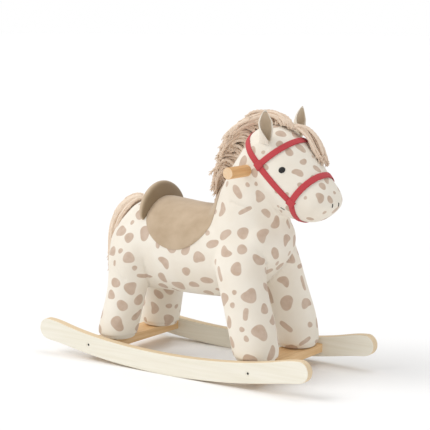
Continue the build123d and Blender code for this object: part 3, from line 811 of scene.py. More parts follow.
@dataclass
class StuffedCover:
    """The spotted cotton cover with its filling: body, neck, head and four legs in one skin."""

    torso_rows: tuple = (
        (-222, 240, -222, 226, 12), (-214, 266, -216, 192, 44), (-194, 296, -201, 162, 66),
        (-160, 328, -168, 148, 79), (-110, 342, -115, 144, 86), (-50, 337, -55, 144, 87),
        (0, 333, 0, 144, 86), (50, 334, 50, 146, 85), (110, 336, 110, 160, 83),
        (160, 334, 160, 200, 77), (186, 316, 186, 228, 59), (198, 284, 198, 248, 25),
    )
    neck_rows: tuple = (
        (22, 262, 196, 262, 84), (30, 312, 196, 285, 80), (44, 350, 195, 318, 74),
        (66, 395, 197, 350, 73), (90, 432, 205, 385, 75), (113, 462, 214, 425, 74),
        (133, 484, 219, 462, 66), (156, 498, 210, 490, 40),
    )
    head_rows: tuple = (
        (114, 468, 113, 442, 20), (128, 490, 130, 402, 56), (155, 506, 152, 366, 72),
        (190, 504, 178, 341, 76), (224, 483, 205, 327, 73), (254, 450, 233, 321, 66),
        (278, 418, 259, 319, 60), (298, 393, 282, 325, 54), (308, 372, 300, 340, 38),
        (311, 358, 309, 350, 9),
    )
    front_leg_rows: tuple = (
        (177, 79, 43, 36, 36), (179, 78, 52, 45, 43), (177, 78, 68, 48, 46),
        (169, 78, 107, 49, 47), (157, 76, 147, 49, 46), (144, 73, 186, 50, 45),
        (133, 66, 225, 53, 44), (127, 55, 262, 53, 40), (125, 44, 292, 46, 33),
        (124, 34, 312, 30, 22),
    )
    rear_leg_rows: tuple = (
        (-172, 76, 43, 34, 34), (-172, 76, 52, 41, 41), (-170, 75, 66, 43, 42),
        (-163, 73, 96, 43, 41), (-154, 69, 138, 43, 40), (-147, 65, 182, 47, 43),
        (-142, 57, 225, 56, 46), (-138, 45, 262, 56, 42), (-134, 34, 290, 46, 36),
        (-130, 26, 308, 28, 22),
    )
    voxel: float = 5.0 * MM
    floor_of_feet: float = 43.1 * MM
    seam_width: float = 2.8 * MM
    seam_depth: float = 4.2 * MM
    seam_top: float = 225 * MM
    sole_seam: float = 50 * MM
    pucker: float = 15 * MM
    pucker_depth: float = 0.8 * MM
    seam_reach: float = 26 * MM
    flank_fade: float = 28 * MM
    pucker_reach: float = 14 * MM
    sole_width: float = 2.2 * MM
    sole_depth: float = 0.45
    crease_width: float = 2.4 * MM
    creases: tuple = (  # x, z to x, z of a fold's line in side view, and its depth in seams
        (114, 355, 156, 344, 0.6), (196, 340, 214, 342, 0.5), (-172, 216, -130, 176, 0.4),
    )
    spot_gap: float = 8.0 * MM
    spot_reach: float = 45 * MM
    own_share: float = 0.85
    next_share: float = 0.9
    spot_seed: int = 11
    head_start: tuple[float, float] = (150 * MM, 325 * MM)  # x and z past which spots are smaller
    head_scale: float = 0.72
    eye_middle: tuple[float, float, float] = (227 * MM, 68 * MM, 426 * MM)
    eye_clear: float = 9 * MM
    spot_tries: int = 3600
    forms: dict[str, StuffedForm] = field(default_factory=dict)
    piece: bpy.types.Object | None = None

    def __post_init__(self) -> None:
        """Work out the smooth forms from the rows."""
        self.forms["torso"] = StuffedForm.from_profile(self.torso_rows)
        self.forms["neck"] = StuffedForm.from_profile(self.neck_rows)
        self.forms["head"] = StuffedForm.from_profile(self.head_rows)
        for side, word in ((-1, "right"), (1, "left")):
            self.forms[f"leg_front_{word}"] = StuffedForm.from_levels(self.front_leg_rows, side)
            self.forms[f"leg_rear_{word}"] = StuffedForm.from_levels(self.rear_leg_rows, side)

    def outside(self, points: np.ndarray, names: Sequence[str] | None = None) -> np.ndarray:
        """Return how far each point lies outside the nearest of the named forms, or of all."""
        return np.min([self.forms[n].outside(points) for n in (names or self.forms)], axis=0)

    def land(self, origins: np.ndarray, ways: np.ndarray, names: Sequence[str] | None = None,
             reach: float = 0.25) -> np.ndarray:
        """Return where rays that start inside the forms leave them, by halving their span.

        Args:
            origins: starts, of shape (count, 3).
            ways: unit directions, of the same shape.
            names: the forms to leave, or None for all.
            reach: the longest ray.

        Returns:
            The places, of the same shape.
        """
        low, high = np.zeros(len(origins)), np.full(len(origins), reach)
        for _ in range(16):
            middle = (low + high) / 2
            out = self.outside(origins + ways * middle[:, None], names) > 0
            low, high = np.where(out, low, middle), np.where(out, middle, high)
        return origins + ways * high[:, None]

    def settle(self, points: np.ndarray, lift: float, mode: str = "ABOVE_SURFACE") -> np.ndarray:
        """Return the points moved to the nearest of the skin and a set height above it.

        Args:
            points: an array whose last axis is x, y, z.
            lift: height above the skin.
            mode: the Shrinkwrap wrap mode; "OUTSIDE" moves only points that are lower.

        Returns:
            The moved points, in the same shape.
        """
        mesh = bpy.data.meshes.new("probe")
        mesh.from_pydata(points.reshape(-1, 3).tolist(), [], [])
        probe = placed("probe", mesh)
        add_modifier(probe, "SHRINKWRAP", target=self.piece, wrap_method="NEAREST_SURFACEPOINT",
                     wrap_mode=mode, offset=lift)
        found = vertex_array(bake_modifiers(probe)).reshape(points.shape)
        bpy.data.objects.remove(probe)
        return found

    def on_skin(self, points: np.ndarray) -> tuple[np.ndarray, np.ndarray]:
        """Find the nearest places on the skin.

        Args:
            points: an array whose last axis is x, y, z.

        Returns:
            The places and the skin's outward directions there, in the same shape.
        """
        base, above = self.settle(points, 0.2 * MM), self.settle(points, 6 * MM)
        out = above - base
        return base, out / np.linalg.norm(out, axis=-1, keepdims=True)

    def cast(self, starts: np.ndarray, ways: np.ndarray | Sequence[float],
             names: Sequence[str] | None = None) -> tuple[np.ndarray, np.ndarray]:
        """Send rays out of the forms and find where they meet the skin.

        Args:
            starts: places inside the forms, an array whose last axis is x, y, z.
            ways: unit directions, one for each start or one for all.
            names: the forms to leave, or None for all.

        Returns:
            The places on the skin and its outward directions there, in the starts' shape.
        """
        spread = np.broadcast_to(np.array(ways, float), starts.shape)
        found = self.land(starts.reshape(-1, 3), spread.reshape(-1, 3), names)
        return self.on_skin(found.reshape(starts.shape))

    def skin(self) -> bpy.types.Object:
        """Join the forms into one continuous skin of even quads and soften its junctions.

        Returns:
            The skin, undressed.
        """
        parts = [grid_mesh(name, form.rings(), round_v=True) for name, form in self.forms.items()]
        skin = joined("stuffed_cover", parts)
        add_modifier(skin, "REMESH", mode="VOXEL", voxel_size=self.voxel)
        add_modifier(skin, "SMOOTH", factor=0.5, iterations=8)
        return bake_modifiers(skin)

    def sew(self, skin: bpy.types.Object) -> None:
        """Draw the skin in along the gusset seams, where a leg's inner side meets the body.

        A seam lies where the leg and the body are equally near; the groove's profile is a bell
        curve across it, and it fades out on the outer flank, which is one panel. A crease is
        such a groove along a line, with a low rim beside it, and the sole's seam is level.

        Args:
            skin: the subdivided skin, which is changed.
        """
        places, normals = vertex_array(skin), normal_array(skin)
        body = self.outside(places, ["torso", "neck"])
        pull, ripple = np.zeros(len(places)), np.zeros(len(places))
        for name, form in self.forms.items():
            if not name.startswith("leg"):
                continue
            leg = form.outside(places)
            side = 1 if name.endswith("left") else -1
            inner = np.clip(1.1 - 1.6 * normals[:, 1] * side, 0, 1)
            inner = np.maximum(inner, np.clip((self.seam_top - places[:, 2]) / self.flank_fade, 0, 1))
            close = np.clip(1 - np.maximum(np.abs(leg), np.abs(body)) / self.seam_reach, 0, 1) * inner
            near = np.exp(-((leg - body) / self.seam_width) ** 2) * close
            wide = np.exp(-((leg - body) / self.pucker_reach) ** 2) * close - near
            pucker = np.sin(2 * math.pi * (places[:, 2] + 0.6 * places[:, 0]) / self.pucker)
            pull = np.maximum(pull, near)
            ripple += np.clip(wide, 0, 1) * pucker
        for x1, z1, x2, z2, depth in self.creases:
            start, line = np.array([x1, z1]) * MM, np.array([x2 - x1, z2 - z1]) * MM
            offset = places[:, [0, 2]] - start
            share = np.clip(offset @ line / (line @ line), 0, 1)
            gap = np.linalg.norm(offset - share[:, None] * line, axis=1)
            fade = np.clip((np.abs(places[:, 1]) - 25 * MM) / (20 * MM), 0, 1)
            rim = np.exp(-((gap - 7 * MM) / (4 * MM)) ** 2)
            fold = np.exp(-(gap / self.crease_width) ** 2) - 0.15 * rim
            pull = np.where(np.abs(fold) > 0.02, fold * fade * depth, pull)
        places -= normals * (pull * self.seam_depth + ripple * self.pucker_depth)[:, None]
        sole = np.exp(-((places[:, 2] - self.sole_seam) / self.sole_width) ** 2)
        places -= normals * (sole * self.seam_depth * self.sole_depth)[:, None]
        places[:, 2] = np.maximum(places[:, 2], self.floor_of_feet)
        set_vertices(skin, places)

    def print_spots(self, skin: bpy.types.Object) -> None:
        """Scatter the printed spots and store each vertex's signed distance to the nearest.

        Vertices are tried in a seeded order, and a spot is kept where it clears those already
        there and the eyes. Spots on the head are smaller.

        Args:
            skin: the sewn skin, which gets the attribute "spot".
        """
        rng = np.random.default_rng(self.spot_seed)
        places, normals = vertex_array(skin), normal_array(skin)
        distance = np.full(len(places), 1.0)
        x, y, z = self.eye_middle
        taken = np.array([[x, -y, z, self.eye_clear], [x, y, z, self.eye_clear]])
        on_head = (places[:, 0] > self.head_start[0]) & (places[:, 2] > self.head_start[1])
        scale = np.where(on_head, self.head_scale, 1.0) * MM
        kinds = list(SpotKind)
        shares = np.array([k.value[0] for k in kinds])
        for index in rng.permutation(len(places))[: self.spot_tries]:
            _, lengths, widths, bend, corners, power = kinds[rng.choice(len(kinds), p=shares)].value
            spot = Spot(rng.uniform(*lengths) * scale[index], rng.uniform(*widths) * scale[index],
                        rng.uniform(0, math.pi), bend * rng.choice([-1, 1]), corners,
                        rng.uniform(0, 2 * math.pi), power)
            gaps = np.linalg.norm(taken[:, :3] - places[index], axis=1)
            if np.any(gaps < taken[:, 3] + self.next_share * spot.half_length + self.spot_gap):
                continue
            taken = np.vstack([taken, [*places[index], self.own_share * spot.half_length]])
            self._stamp(distance, places, normals, index, spot)
        store(skin.data, "spot", distance)
        LOG.info("printed %d spots", len(taken) - 2)

    def _stamp(self, distance: np.ndarray, places: np.ndarray, normals: np.ndarray, index: int,
               spot: Spot) -> None:
        """Lower the distance field by one spot around a vertex.

        Args:
            distance: each vertex's distance to the nearest spot, which is changed.
            places: the vertices' places.
            normals: their normals.
            index: the vertex at the spot's middle.
            spot: the spot's shape.
        """
        normal = normals[index]
        guide = np.array([0.0, 0.0, 1.0]) if abs(normal[2]) < 0.8 else np.array([1.0, 0.0, 0.0])
        across = np.cross(guide, normal)
        across /= np.linalg.norm(across)
        upward = np.cross(normal, across)
        offset = places - places[index]
        close = np.einsum("ij,ij->i", offset, offset) < self.spot_reach ** 2
        near = close & (normals @ normal > 0.1)
        local = offset[near]
        distance[near] = np.minimum(distance[near], spot.distance(local @ across, local @ upward))

    def build(self) -> bpy.types.Object:
        """Make the cover and dress it.

        Returns:
            The finished piece.
        """
        skin = subdivided(self.skin())
        self.sew(skin)
        self.print_spots(skin)
        dress(skin, FINISHES["spotted_cotton"].material(), HORSE_BODY,
              ["torso", "neck", "head", "leg_front_right", "leg_front_left", "leg_rear_right",
               "leg_rear_left"])
        self.piece = skin
        return skin


def slab(base: np.ndarray, out: np.ndarray, low: np.ndarray | float,
         high: np.ndarray | float) -> np.ndarray:
    """Make a closed skin around a layer that lies on a surface.

    Args:
        base: places on the surface, of shape (rows, columns, 3).
        out: the surface's outward directions there.
        low: height of the layer's underside, one number or one for each place.
        high: height of its upper side.

    Returns:
        Points of shape (rows, 2 * columns, 3), whose last column joins the first.
    """
    over, under = (base + out * np.broadcast_to(height, base.shape[:2])[..., None]
                   for height in (high, low))
    return np.concatenate([over, under[:, ::-1]], axis=1)


def frames_along(paths: np.ndarray) -> tuple[np.ndarray, np.ndarray, np.ndarray]:
    """Work out the directions along and across paths.

    Args:
        paths: places, of shape (count, samples, 3).

    Returns:
        Unit tangents and two unit directions across them, each in the paths' shape.
    """
    tangent = np.gradient(paths, axis=1)
    tangent /= np.maximum(np.linalg.norm(tangent, axis=-1, keepdims=True), 1e-9)
    guide = np.array([0.31, 0.89, 0.33])
    across = np.cross(tangent, guide)
    across /= np.maximum(np.linalg.norm(across, axis=-1, keepdims=True), 1e-9)
    return tangent, across, np.cross(tangent, across)


def tubes(name: str, paths: np.ndarray, radii: np.ndarray, sides: int = 8, plies: int = 0,
          lay: float = 9 * MM, tones: np.ndarray | None = None) -> bpy.types.Object:
    """Make one mesh of many tubes that follow paths.

    A ring's point at angle t and length s is path + r * (1 + 0.2 cos(p (t - 2 pi s / lay)))
    * (a cos t + b sin t), where p is the number of plies and a, b lie across the path.

    Args:
        name: the object's name.
        paths: centre lines of shape (count, samples, 3).
        radii: radii of shape (count, samples).
        sides: points around.
        plies: lobes of the twisted yarn, or 0 for a plain tube.
        lay: length of one turn of the twist.
        tones: one number for each tube, stored as the attribute "strand".

    Returns:
        The object, linked to the scene.
    """
    count, samples = paths.shape[:2]
    _, across, over = frames_along(paths)
    step = np.linalg.norm(np.diff(paths, axis=1), axis=-1)
    length = np.concatenate([np.zeros((count, 1)), np.cumsum(step, axis=1)], axis=1)
    angle = np.linspace(0, 2 * math.pi, sides, endpoint=False)
    turn = angle - 2 * math.pi * length[..., None] / lay
    swell = 1 + (0.2 * np.cos(plies * turn) if plies else 0.0 * turn)
    reach = (radii[..., None] * swell)[..., None]
    points = paths[:, :, None] + reach * (across[:, :, None] * np.cos(angle)[:, None]
                                          + over[:, :, None] * np.sin(angle)[:, None])
    tips = np.stack([paths[:, 0], paths[:, -1]], axis=1)
    places = np.concatenate([points.reshape(-1, 3), tips.reshape(-1, 3)])
    tube, ring, side = np.meshgrid(np.arange(count), np.arange(samples - 1), np.arange(sides),
                                   indexing="ij")
    here = (tube * samples + ring) * sides
    after = (side + 1) % sides
    quads = np.stack([here + side, here + after, here + sides + after, here + sides + side], -1)
    first = count * samples * sides + 2 * np.arange(count)[:, None]
    head = np.arange(count)[:, None] * samples * sides
    foot = head + (samples - 1) * sides
    k = np.arange(sides)[None, :]
    caps = np.concatenate([np.stack(np.broadcast_arrays(first, head + (k + 1) % sides, head + k), -1),
                           np.stack(np.broadcast_arrays(first + 1, foot + k,
                                                        foot + (k + 1) % sides), -1)])
    mesh = bpy.data.meshes.new(name)
    mesh.from_pydata(places.tolist(), [], quads.reshape(-1, 4).tolist() + caps.reshape(-1, 3).tolist())
    mesh.update()
    if tones is not None:
        values = np.concatenate([np.repeat(tones, samples * sides), np.repeat(tones, 2)])
        store(mesh, "strand", values)
    return placed(name, mesh)


def bezier(controls: np.ndarray, samples: int) -> np.ndarray:
    """Work out cubic curves, a (1-t)^3 + 3 b t (1-t)^2 + 3 c t^2 (1-t) + d t^3.

    Args:
        controls: the points a, b, c, d of each curve, of shape (count, 4, 3).
        samples: places along a curve.

    Returns:
        The places, of shape (count, samples, 3).
    """
    t = np.linspace(0, 1, samples)[None, :, None]
    a, b, c, d = (controls[:, i:i + 1] for i in range(4))
    return a * (1 - t) ** 3 + 3 * b * t * (1 - t) ** 2 + 3 * c * t ** 2 * (1 - t) + d * t ** 3


def along_line(line: Sequence[Sequence[float]], share: np.ndarray) -> np.ndarray:
    """Read places off a line.

    Args:
        line: its x, z points in millimetres, evenly shared out.
        share: shares of the line, 0 to 1.

    Returns:
        x, z in metres, of shape (count, 2).
    """
    table = np.array(line, float) * MM
    places = np.linspace(0, 1, len(table))
    return np.column_stack([np.interp(share, places, table[:, i]) for i in (0, 1)])


# ---------------------------------------------------------------- saddle
@dataclass
class Saddle:
    """A velvet seat panel over the back, and a stuffed crescent of a backrest behind it."""

    cover: StuffedCover
    centre: tuple[float, float] = (-21 * MM, 338 * MM)
    flap: tuple[float, float] = (87 * MM, 90 * MM)
    thickness: float = 3.2 * MM
    back_x: float = -108 * MM
    back_height: float = 33 * MM
    back_depth: float = 29 * MM
    back_span: float = 0.96
    back_lean: float = 0.10
    root: float = 7 * MM

    def seat(self) -> bpy.types.Object:
        """Make the seat panel.

        With b from -1 to 1 across the back, a ray at angle b * T leaves the torso at height
        z(b); there the panel runs from x0 - w to x0 + w, w = 87 mm * sqrt(1 - ((338 - z) / 90)^2),
        so that both flaps are half ellipses in side view.

        Returns:
            The finished piece.
        """
        mid, high, wide = self.cover.forms["torso"].section(self.centre[0])
        lowest = math.acos((self.centre[1] - 0.9985 * self.flap[1] - mid) / high)
        b = np.sin(np.linspace(-math.pi / 2, math.pi / 2, 121))
        a = np.sin(np.linspace(-math.pi / 2, math.pi / 2, 61))
        turn = b * lowest
        drop = np.clip((self.centre[1] - mid - high * np.cos(turn)) / self.flap[1], 0, 1)
        reach = self.flap[0] * np.sqrt(1 - drop ** 2)
        x = self.centre[0] + reach[:, None] * a[None, :]
        start = np.stack([x, np.zeros_like(x), np.full_like(x, mid)], -1)
        way = np.stack([np.zeros_like(turn), wide * np.sin(turn), high * np.cos(turn)], -1)
        way /= np.linalg.norm(way, axis=1)[:, None]
        base, out = self.cover.cast(start, way[:, None])
        edge = np.maximum(np.abs(a)[None, :], np.abs(b)[:, None])
        height = 0.6 * MM + self.thickness * (1 - edge ** 10)
        seat = grid_mesh("saddle_seat", slab(base, out, 0.2 * MM, height), round_v=True)
        dress(seat, FINISHES["saddle_velvet"].material(), HORSE_BODY,
              ["saddle_pad"])
        return seat

    def backrest(self) -> bpy.types.Object:
        """Make the backrest.

        Its section at angle f across the back is r = (H + g) (1 + cos s) / 2 - g outwards and
        x = D / 2 * sin s * (0.92 - 0.08 cos s) along, where g is its hidden root, H and D fall
        to nothing at both tips, and the front is a little hollow.

        Returns:
            The finished piece.
        """
        mid, high, wide = self.cover.forms["torso"].section(self.back_x)
        share = np.sin(np.linspace(-math.pi / 2, math.pi / 2, 97))
        turn = share * self.back_span
        fall = np.sqrt(np.clip(1 - share ** 2, 0, 1))
        height, depth = self.back_height * fall ** 0.9, self.back_depth * fall ** 0.75
        way = np.stack([np.zeros_like(turn), wide * np.sin(turn), high * np.cos(turn)], -1)
        way /= np.linalg.norm(way, axis=1)[:, None]
        start = np.tile([self.back_x, 0.0, mid], (len(turn), 1))
        foot = self.cover.land(start, way, ["torso"])
        s = np.linspace(0, 2 * math.pi, 48, endpoint=False)[None, :]
        root = (self.root * fall ** 0.5)[:, None]
        rise = (height[:, None] + root) * (1 + np.cos(s)) / 2 - root
        body = depth[:, None] / 2 * np.sin(s) * (0.92 - 0.08 * np.cos(s))
        hollow = 0.14 * depth[:, None] * np.maximum(np.sin(s), 0) ** 2 * (1 - np.cos(s) ** 2)
        along = body - hollow - self.back_lean * rise
        x_way = np.array([1.0, 0.0, 0.0])
        points = foot[:, None] + way[:, None] * rise[..., None] + x_way * along[..., None]
        rest = subdivided(grid_mesh("saddle_backrest_pad", points, round_v=True))
        # Painted shade: faces turned towards +X, the backrest's front away from the key light, get the
        # velvet's dark shade colour.
        painted_front_shade = np.clip(normal_array(rest)[:, 0] * 1.3 - 0.25, 0, 1) * 0.75
        store(rest.data, "painted_front_shade", painted_front_shade)
        dress(rest, FINISHES["saddle_velvet"].material(), HORSE_BODY,
              ["saddle_backrest"])
        return rest

    def build(self) -> None:
        """Make both pieces."""
        self.seat()
        self.backrest()


# ---------------------------------------------------------------- bridle
@dataclass
class Bridle:
    """Red webbing: a headstall round the head, brow and nose bands, and stitched crossings."""

    cover: StuffedCover
    cheek: tuple[float, float] = (179.5 * MM, 432.5 * MM)
    nose: tuple[float, float] = (245.5 * MM, 363 * MM)
    brow_top: tuple[float, float] = (228 * MM, 477 * MM)
    nose_top: tuple[float, float] = (285 * MM, 417 * MM)
    chin: tuple[float, float] = (243 * MM, 320 * MM)
    nose_breadth: float = 61 * MM
    width: float = 12.5 * MM
    thickness: float = 1.5 * MM
    keeper: float = 15.5 * MM

    def strap(self, name: str, centre: Sequence[float], top: Sequence[float], end: float,
              lift: float) -> bpy.types.Object:
        """Make a strap in a plane that holds the Y direction.

        The strap's line is where rays from the plane's centre, at angles f, leave the head;
        their direction is d cos f + Y sin f, with d from the centre towards the top.

        Args:
            name: the strap's name.
            centre: x, z of the plane's centre.
            top: x, z of a point that the strap passes over.
            end: the largest angle f, in degrees, on either side.
            lift: height of its underside above the skin.

        Returns:
            The strap, undressed.
        """
        up = np.array([top[0] - centre[0], 0.0, top[1] - centre[1]])
        up /= np.linalg.norm(up)
        normal = np.cross([0.0, 1.0, 0.0], up)
        angle = np.radians(np.linspace(-end, end, 181))
        way = up * np.cos(angle)[:, None] + np.array([0.0, 1.0, 0.0]) * np.sin(angle)[:, None]
        side = np.linspace(-0.5, 0.5, 9)
        middle = np.array([centre[0], 0.0, centre[1]])
        start = middle + normal * (side * self.width)[None, :, None] + np.zeros((len(way), 1, 1))
        base, out = self.cover.cast(start, way[:, None], ["head", "neck"])
        edge = self.thickness * (1 - 0.35 * np.abs(2 * side) ** 6)
        shape = slab(base, out, lift, lift + edge)
        length = float(np.sum(np.linalg.norm(np.diff(base[:, 4], axis=0), axis=1)))
        return grid_mesh(name, shape, round_v=True, uv_size=(length, 2 * self.width))

    def patch(self, centre: Sequence[float], along: Sequence[float], side: int) -> bpy.types.Object:
        """Make the square of webbing that is folded round and sewn down over a crossing.

        Args:
            centre: x, z of the crossing.
            along: x, z of the headstall's direction.
            side: -1 for the right side and 1 for the left.

        Returns:
            The square, undressed.
        """
        line = np.array([along[0], 0.0, along[1]])
        line /= np.linalg.norm(line)
        normal = np.cross([0.0, 1.0, 0.0], line)
        span = np.linspace(-0.5, 0.5, 13) * self.keeper
        middle = np.array([centre[0], 0.0, centre[1]])
        start = middle + line * span[:, None, None] + normal * span[None, :, None]
        base, out = self.cover.cast(start, (0.0, side, 0.0), ["head", "neck"])
        u = np.abs(span[:, None]) / self.keeper * 2
        v = np.abs(span[None, :]) / self.keeper * 2
        edge = np.maximum(u, v)
        seam = np.exp(-((edge - 0.74) / 0.07) ** 2)
        height = 2.9 * MM + 1.3 * MM * (1 - edge ** 8) - 0.7 * MM * seam
        shape = slab(base, out, 0.6 * MM, height)
        return grid_mesh("keeper", shape, round_v=True, uv_size=(self.keeper, 2 * self.keeper))

    def build(self) -> None:
        """Make the straps and the crossings' patches."""
        material = FINISHES["red_webbing"].material()
        middle = [(self.cheek[i] + self.nose[i]) / 2 for i in (0, 1)]
        half = math.hypot(self.cheek[0] - self.nose[0], self.cheek[1] - self.nose[1]) / 2
        reach = 90 + math.degrees(math.atan2(half, self.nose_breadth))
        over = self.strap("over_poll", middle, self.cheek, reach, 0.4 * MM)
        under = self.strap("under_chin", self.nose, self.chin, 90, 0.4 * MM)
        brow = self.strap("brow_webbing", self.cheek, self.brow_top, 90, 1.2 * MM)
        nose = self.strap("nose_webbing", self.nose, self.nose_top, 90, 1.2 * MM)
        headstall = joined("headstall_webbing", [over, under])
        for strap, node in ((headstall, "headstall_strap"), (brow, "brow_band"), (nose, "nose_band")):
            dress(strap, material, HORSE_BODY, [node])
        along = (self.nose[0] - self.cheek[0], self.nose[1] - self.cheek[1])
        squares = [self.patch(c, along, side) for c in (self.cheek, self.nose) for side in (-1, 1)]
        dress(joined("crossing_patches", squares), material, HORSE_BODY,
              ["strap_keepers"])


# ---------------------------------------------------------------- ears
@dataclass
class Ear:
    """A leaf-shaped ear, folded at its foot: a cotton back, and a velvet lining in its cup."""

    side: int
    facing: tuple[float, float]
    root: tuple[float, float, float] = (170 * MM, 57 * MM, 479 * MM)
    tip: tuple[float, float, float] = (190 * MM, 70 * MM, 541 * MM)
    widths: tuple = ((0, 24), (0.2, 26), (0.42, 24.5), (0.65, 18.5), (0.83, 10.5), (0.94, 4.8), (1, 1.2))
    curls: tuple = ((0, 2.75), (0.2, 2.25), (0.45, 1.5), (0.7, 1.0), (1, 0.7))

    def leaf(self, share: float, start: float, end: float) -> tuple[np.ndarray, np.ndarray]:
        """Return the leaf's middle surface and its inward directions.

        At height u and breadth v a point is root + A u + R (p L sin(c v) + q F (1 - cos(c v))),
        with R = w(u) / c(u): an arc of half length w curled through c, pressed to an oval by p
        and q at its foot. F turns from one facing at the foot to the other at the tip.

        Args:
            share: how much of the breadth is covered.
            start: lowest u.
            end: highest u.

        Returns:
            The points and the unit directions, both of shape (49, 25, 3).
        """
        u, v = np.linspace(start, end, 49)[:, None], np.linspace(-share, share, 25)[None, :]
        side = np.array([1.0, self.side, 1.0])
        root, tip = np.array(self.root) * side, np.array(self.tip) * side
        axis = (tip - root) / np.linalg.norm(tip - root)
        turn = np.radians(self.facing[0] + (self.facing[1] - self.facing[0]) * u[:, 0])
        face = np.stack([np.cos(turn), self.side * np.sin(turn), 0 * turn], -1)
        face -= axis * (face @ axis)[:, None]
        face /= np.linalg.norm(face, axis=1)[:, None]
        across = np.cross(axis, face)
        table, curl = np.array(self.widths, float), np.array(self.curls, float)
        bend = np.interp(u, curl[:, 0], curl[:, 1])
        radius = np.interp(u, table[:, 0], table[:, 1]) * MM / bend
        narrow, deep = 0.62 + 0.38 * np.minimum(u / 0.6, 1), 1.35 - 0.35 * np.minimum(u / 0.6, 1)
        sine, cosine = np.sin(bend * v), np.cos(bend * v)
        points = (root + axis * (np.linalg.norm(tip - root) * u)[..., None]
                  + across[:, None] * (radius * narrow * sine)[..., None]
                  + face[:, None] * (radius * deep * (1 - cosine))[..., None])
        inward = (face[:, None] * (narrow * cosine)[..., None]
                  - across[:, None] * (deep * sine)[..., None])
        return points, inward / np.linalg.norm(inward, axis=-1, keepdims=True)

    def build(self) -> None:
        """Make the back and the lining."""
        word = "right" if self.side < 0 else "left"
        points, out = self.leaf(1.0, 0.0, 1.0)
        v = np.abs(np.linspace(-1, 1, 25))[None, :]
        u = np.linspace(0, 1, 49)[:, None]
        puff = 1.9 * MM * np.sqrt(np.clip(1 - (0.94 * v) ** 6, 0, 1)) * np.clip(1.15 - u ** 6, 0.2, 1)
        skin = slab(points, out, -puff, 0.6 * puff)
        shell = subdivided(grid_mesh(f"ear_back_{word}", skin, round_v=True))
        store(shell.data, "spot", np.ones(len(shell.data.vertices)))  # unprinted
        dress(shell, FINISHES["spotted_cotton"].material(), HORSE_BODY,
              [f"ear_{word}"])
        points, out = self.leaf(0.88, 0.02, 0.94)
        pile = slab(points, out, 0.6 * MM, 2.0 * MM - 0.9 * MM * v ** 8)
        inner = subdivided(grid_mesh(f"ear_velvet_{word}", pile, round_v=True))
        dress(inner, FINISHES["ear_velvet"].material(), HORSE_BODY,
              [f"ear_lining_{word}"])


# ---------------------------------------------------------------- face
@dataclass
class Face:
    """Embroidered eyes, nostrils and mouth."""

    cover: StuffedCover
    eye: tuple[float, float] = (227 * MM, 426 * MM)
    eye_radius: float = 6 * MM
    nostril: tuple[float, float, float] = (306 * MM, 12 * MM, 357 * MM)
    mouth: tuple[float, float] = (222 * MM, 349 * MM)
    mouth_length: float = 10 * MM
    mouth_slope: float = -32.0

    def eye_patch(self, side: int) -> bpy.types.Object:
        """Make one round, slightly domed eye of radial satin stitches.

        Its height at share r of the radius is 1.5 mm * sqrt(1 - 0.97 r^4), and 36 stitches.

        Args:
            side: -1 for the right side and 1 for the left.

        Returns:
            The eye, undressed.
        """
        radius = np.linspace(0, 1, 15)[:, None]
        angle = np.linspace(0, 2 * math.pi, 72, endpoint=False)[None, :]
        x = self.eye[0] + self.eye_radius * radius * np.cos(angle)
        z = self.eye[1] + self.eye_radius * radius * np.sin(angle)
        start = np.stack([x, 0 * x, z], -1)
        base, out = self.cover.cast(start, (0.0, side, 0.0), ["head"])
        stitches = 0.12 * MM * np.cos(36 * angle) * radius
        height = 1.5 * MM * np.sqrt(1 - 0.97 * radius ** 4) + stitches
        over = base + out * height[..., None]
        rim = base[-1:] - out[-1:] * 0.5 * MM
        return grid_mesh("eye", np.concatenate([over, rim]), round_v=True)

    def dash(self, start: np.ndarray, end: np.ndarray, way: Sequence[float],
             radius: float) -> bpy.types.Object:
        """Make a short raised bar of stitches.

        Args:
            start: one end, inside the head.
            end: the other end.
            way: direction from there out to the skin.
            radius: the bar's radius at its middle.

        Returns:
            The bar, undressed.
        """
        share = np.linspace(0, 1, 19)[:, None]
        inside = start + (end - start) * share
        base, out = self.cover.cast(inside, way, ["head"])
        paths = (base + out * 0.3 * MM)[None]
        swell = radius * np.sqrt(np.clip(1 - (2 * share[:, 0] - 1) ** 4, 0.05, 1))
        return tubes("dash", paths, swell[None], sides=10)

    def build(self) -> None:
        """Make the eyes, nostrils and mouth corners."""
        thread = FINISHES["black_thread"].material()
        eyes = joined("eye_stitches", [self.eye_patch(side) for side in (-1, 1)])
        dress(eyes, thread, HORSE_BODY, ["eyes"])
        tilt = np.array([0.2, 0.0, 1.0]) * 4 * MM
        dashes = []
        for side in (-1, 1):
            middle = np.array([self.nostril[0] - 40 * MM, side * self.nostril[1], self.nostril[2]])
            dashes.append(self.dash(middle - tilt, middle + tilt, (1.0, 0.0, 0.0), 1.1 * MM))
        dress(joined("nostrils", dashes), thread, HORSE_BODY, ["nostril_stitches"])
        slope = math.radians(self.mouth_slope)
        half = np.array([math.cos(slope), 0.0, math.sin(slope)]) * self.mouth_length / 2
        corners = []
        for side in (-1, 1):
            middle = np.array([self.mouth[0], 0.0, self.mouth[1]])
            corners.append(self.dash(middle - half, middle + half, (0.0, side, 0.0), 0.75 * MM))
        dress(joined("mouth_corners", corners), thread, HORSE_BODY,
              ["mouth_stitches"])


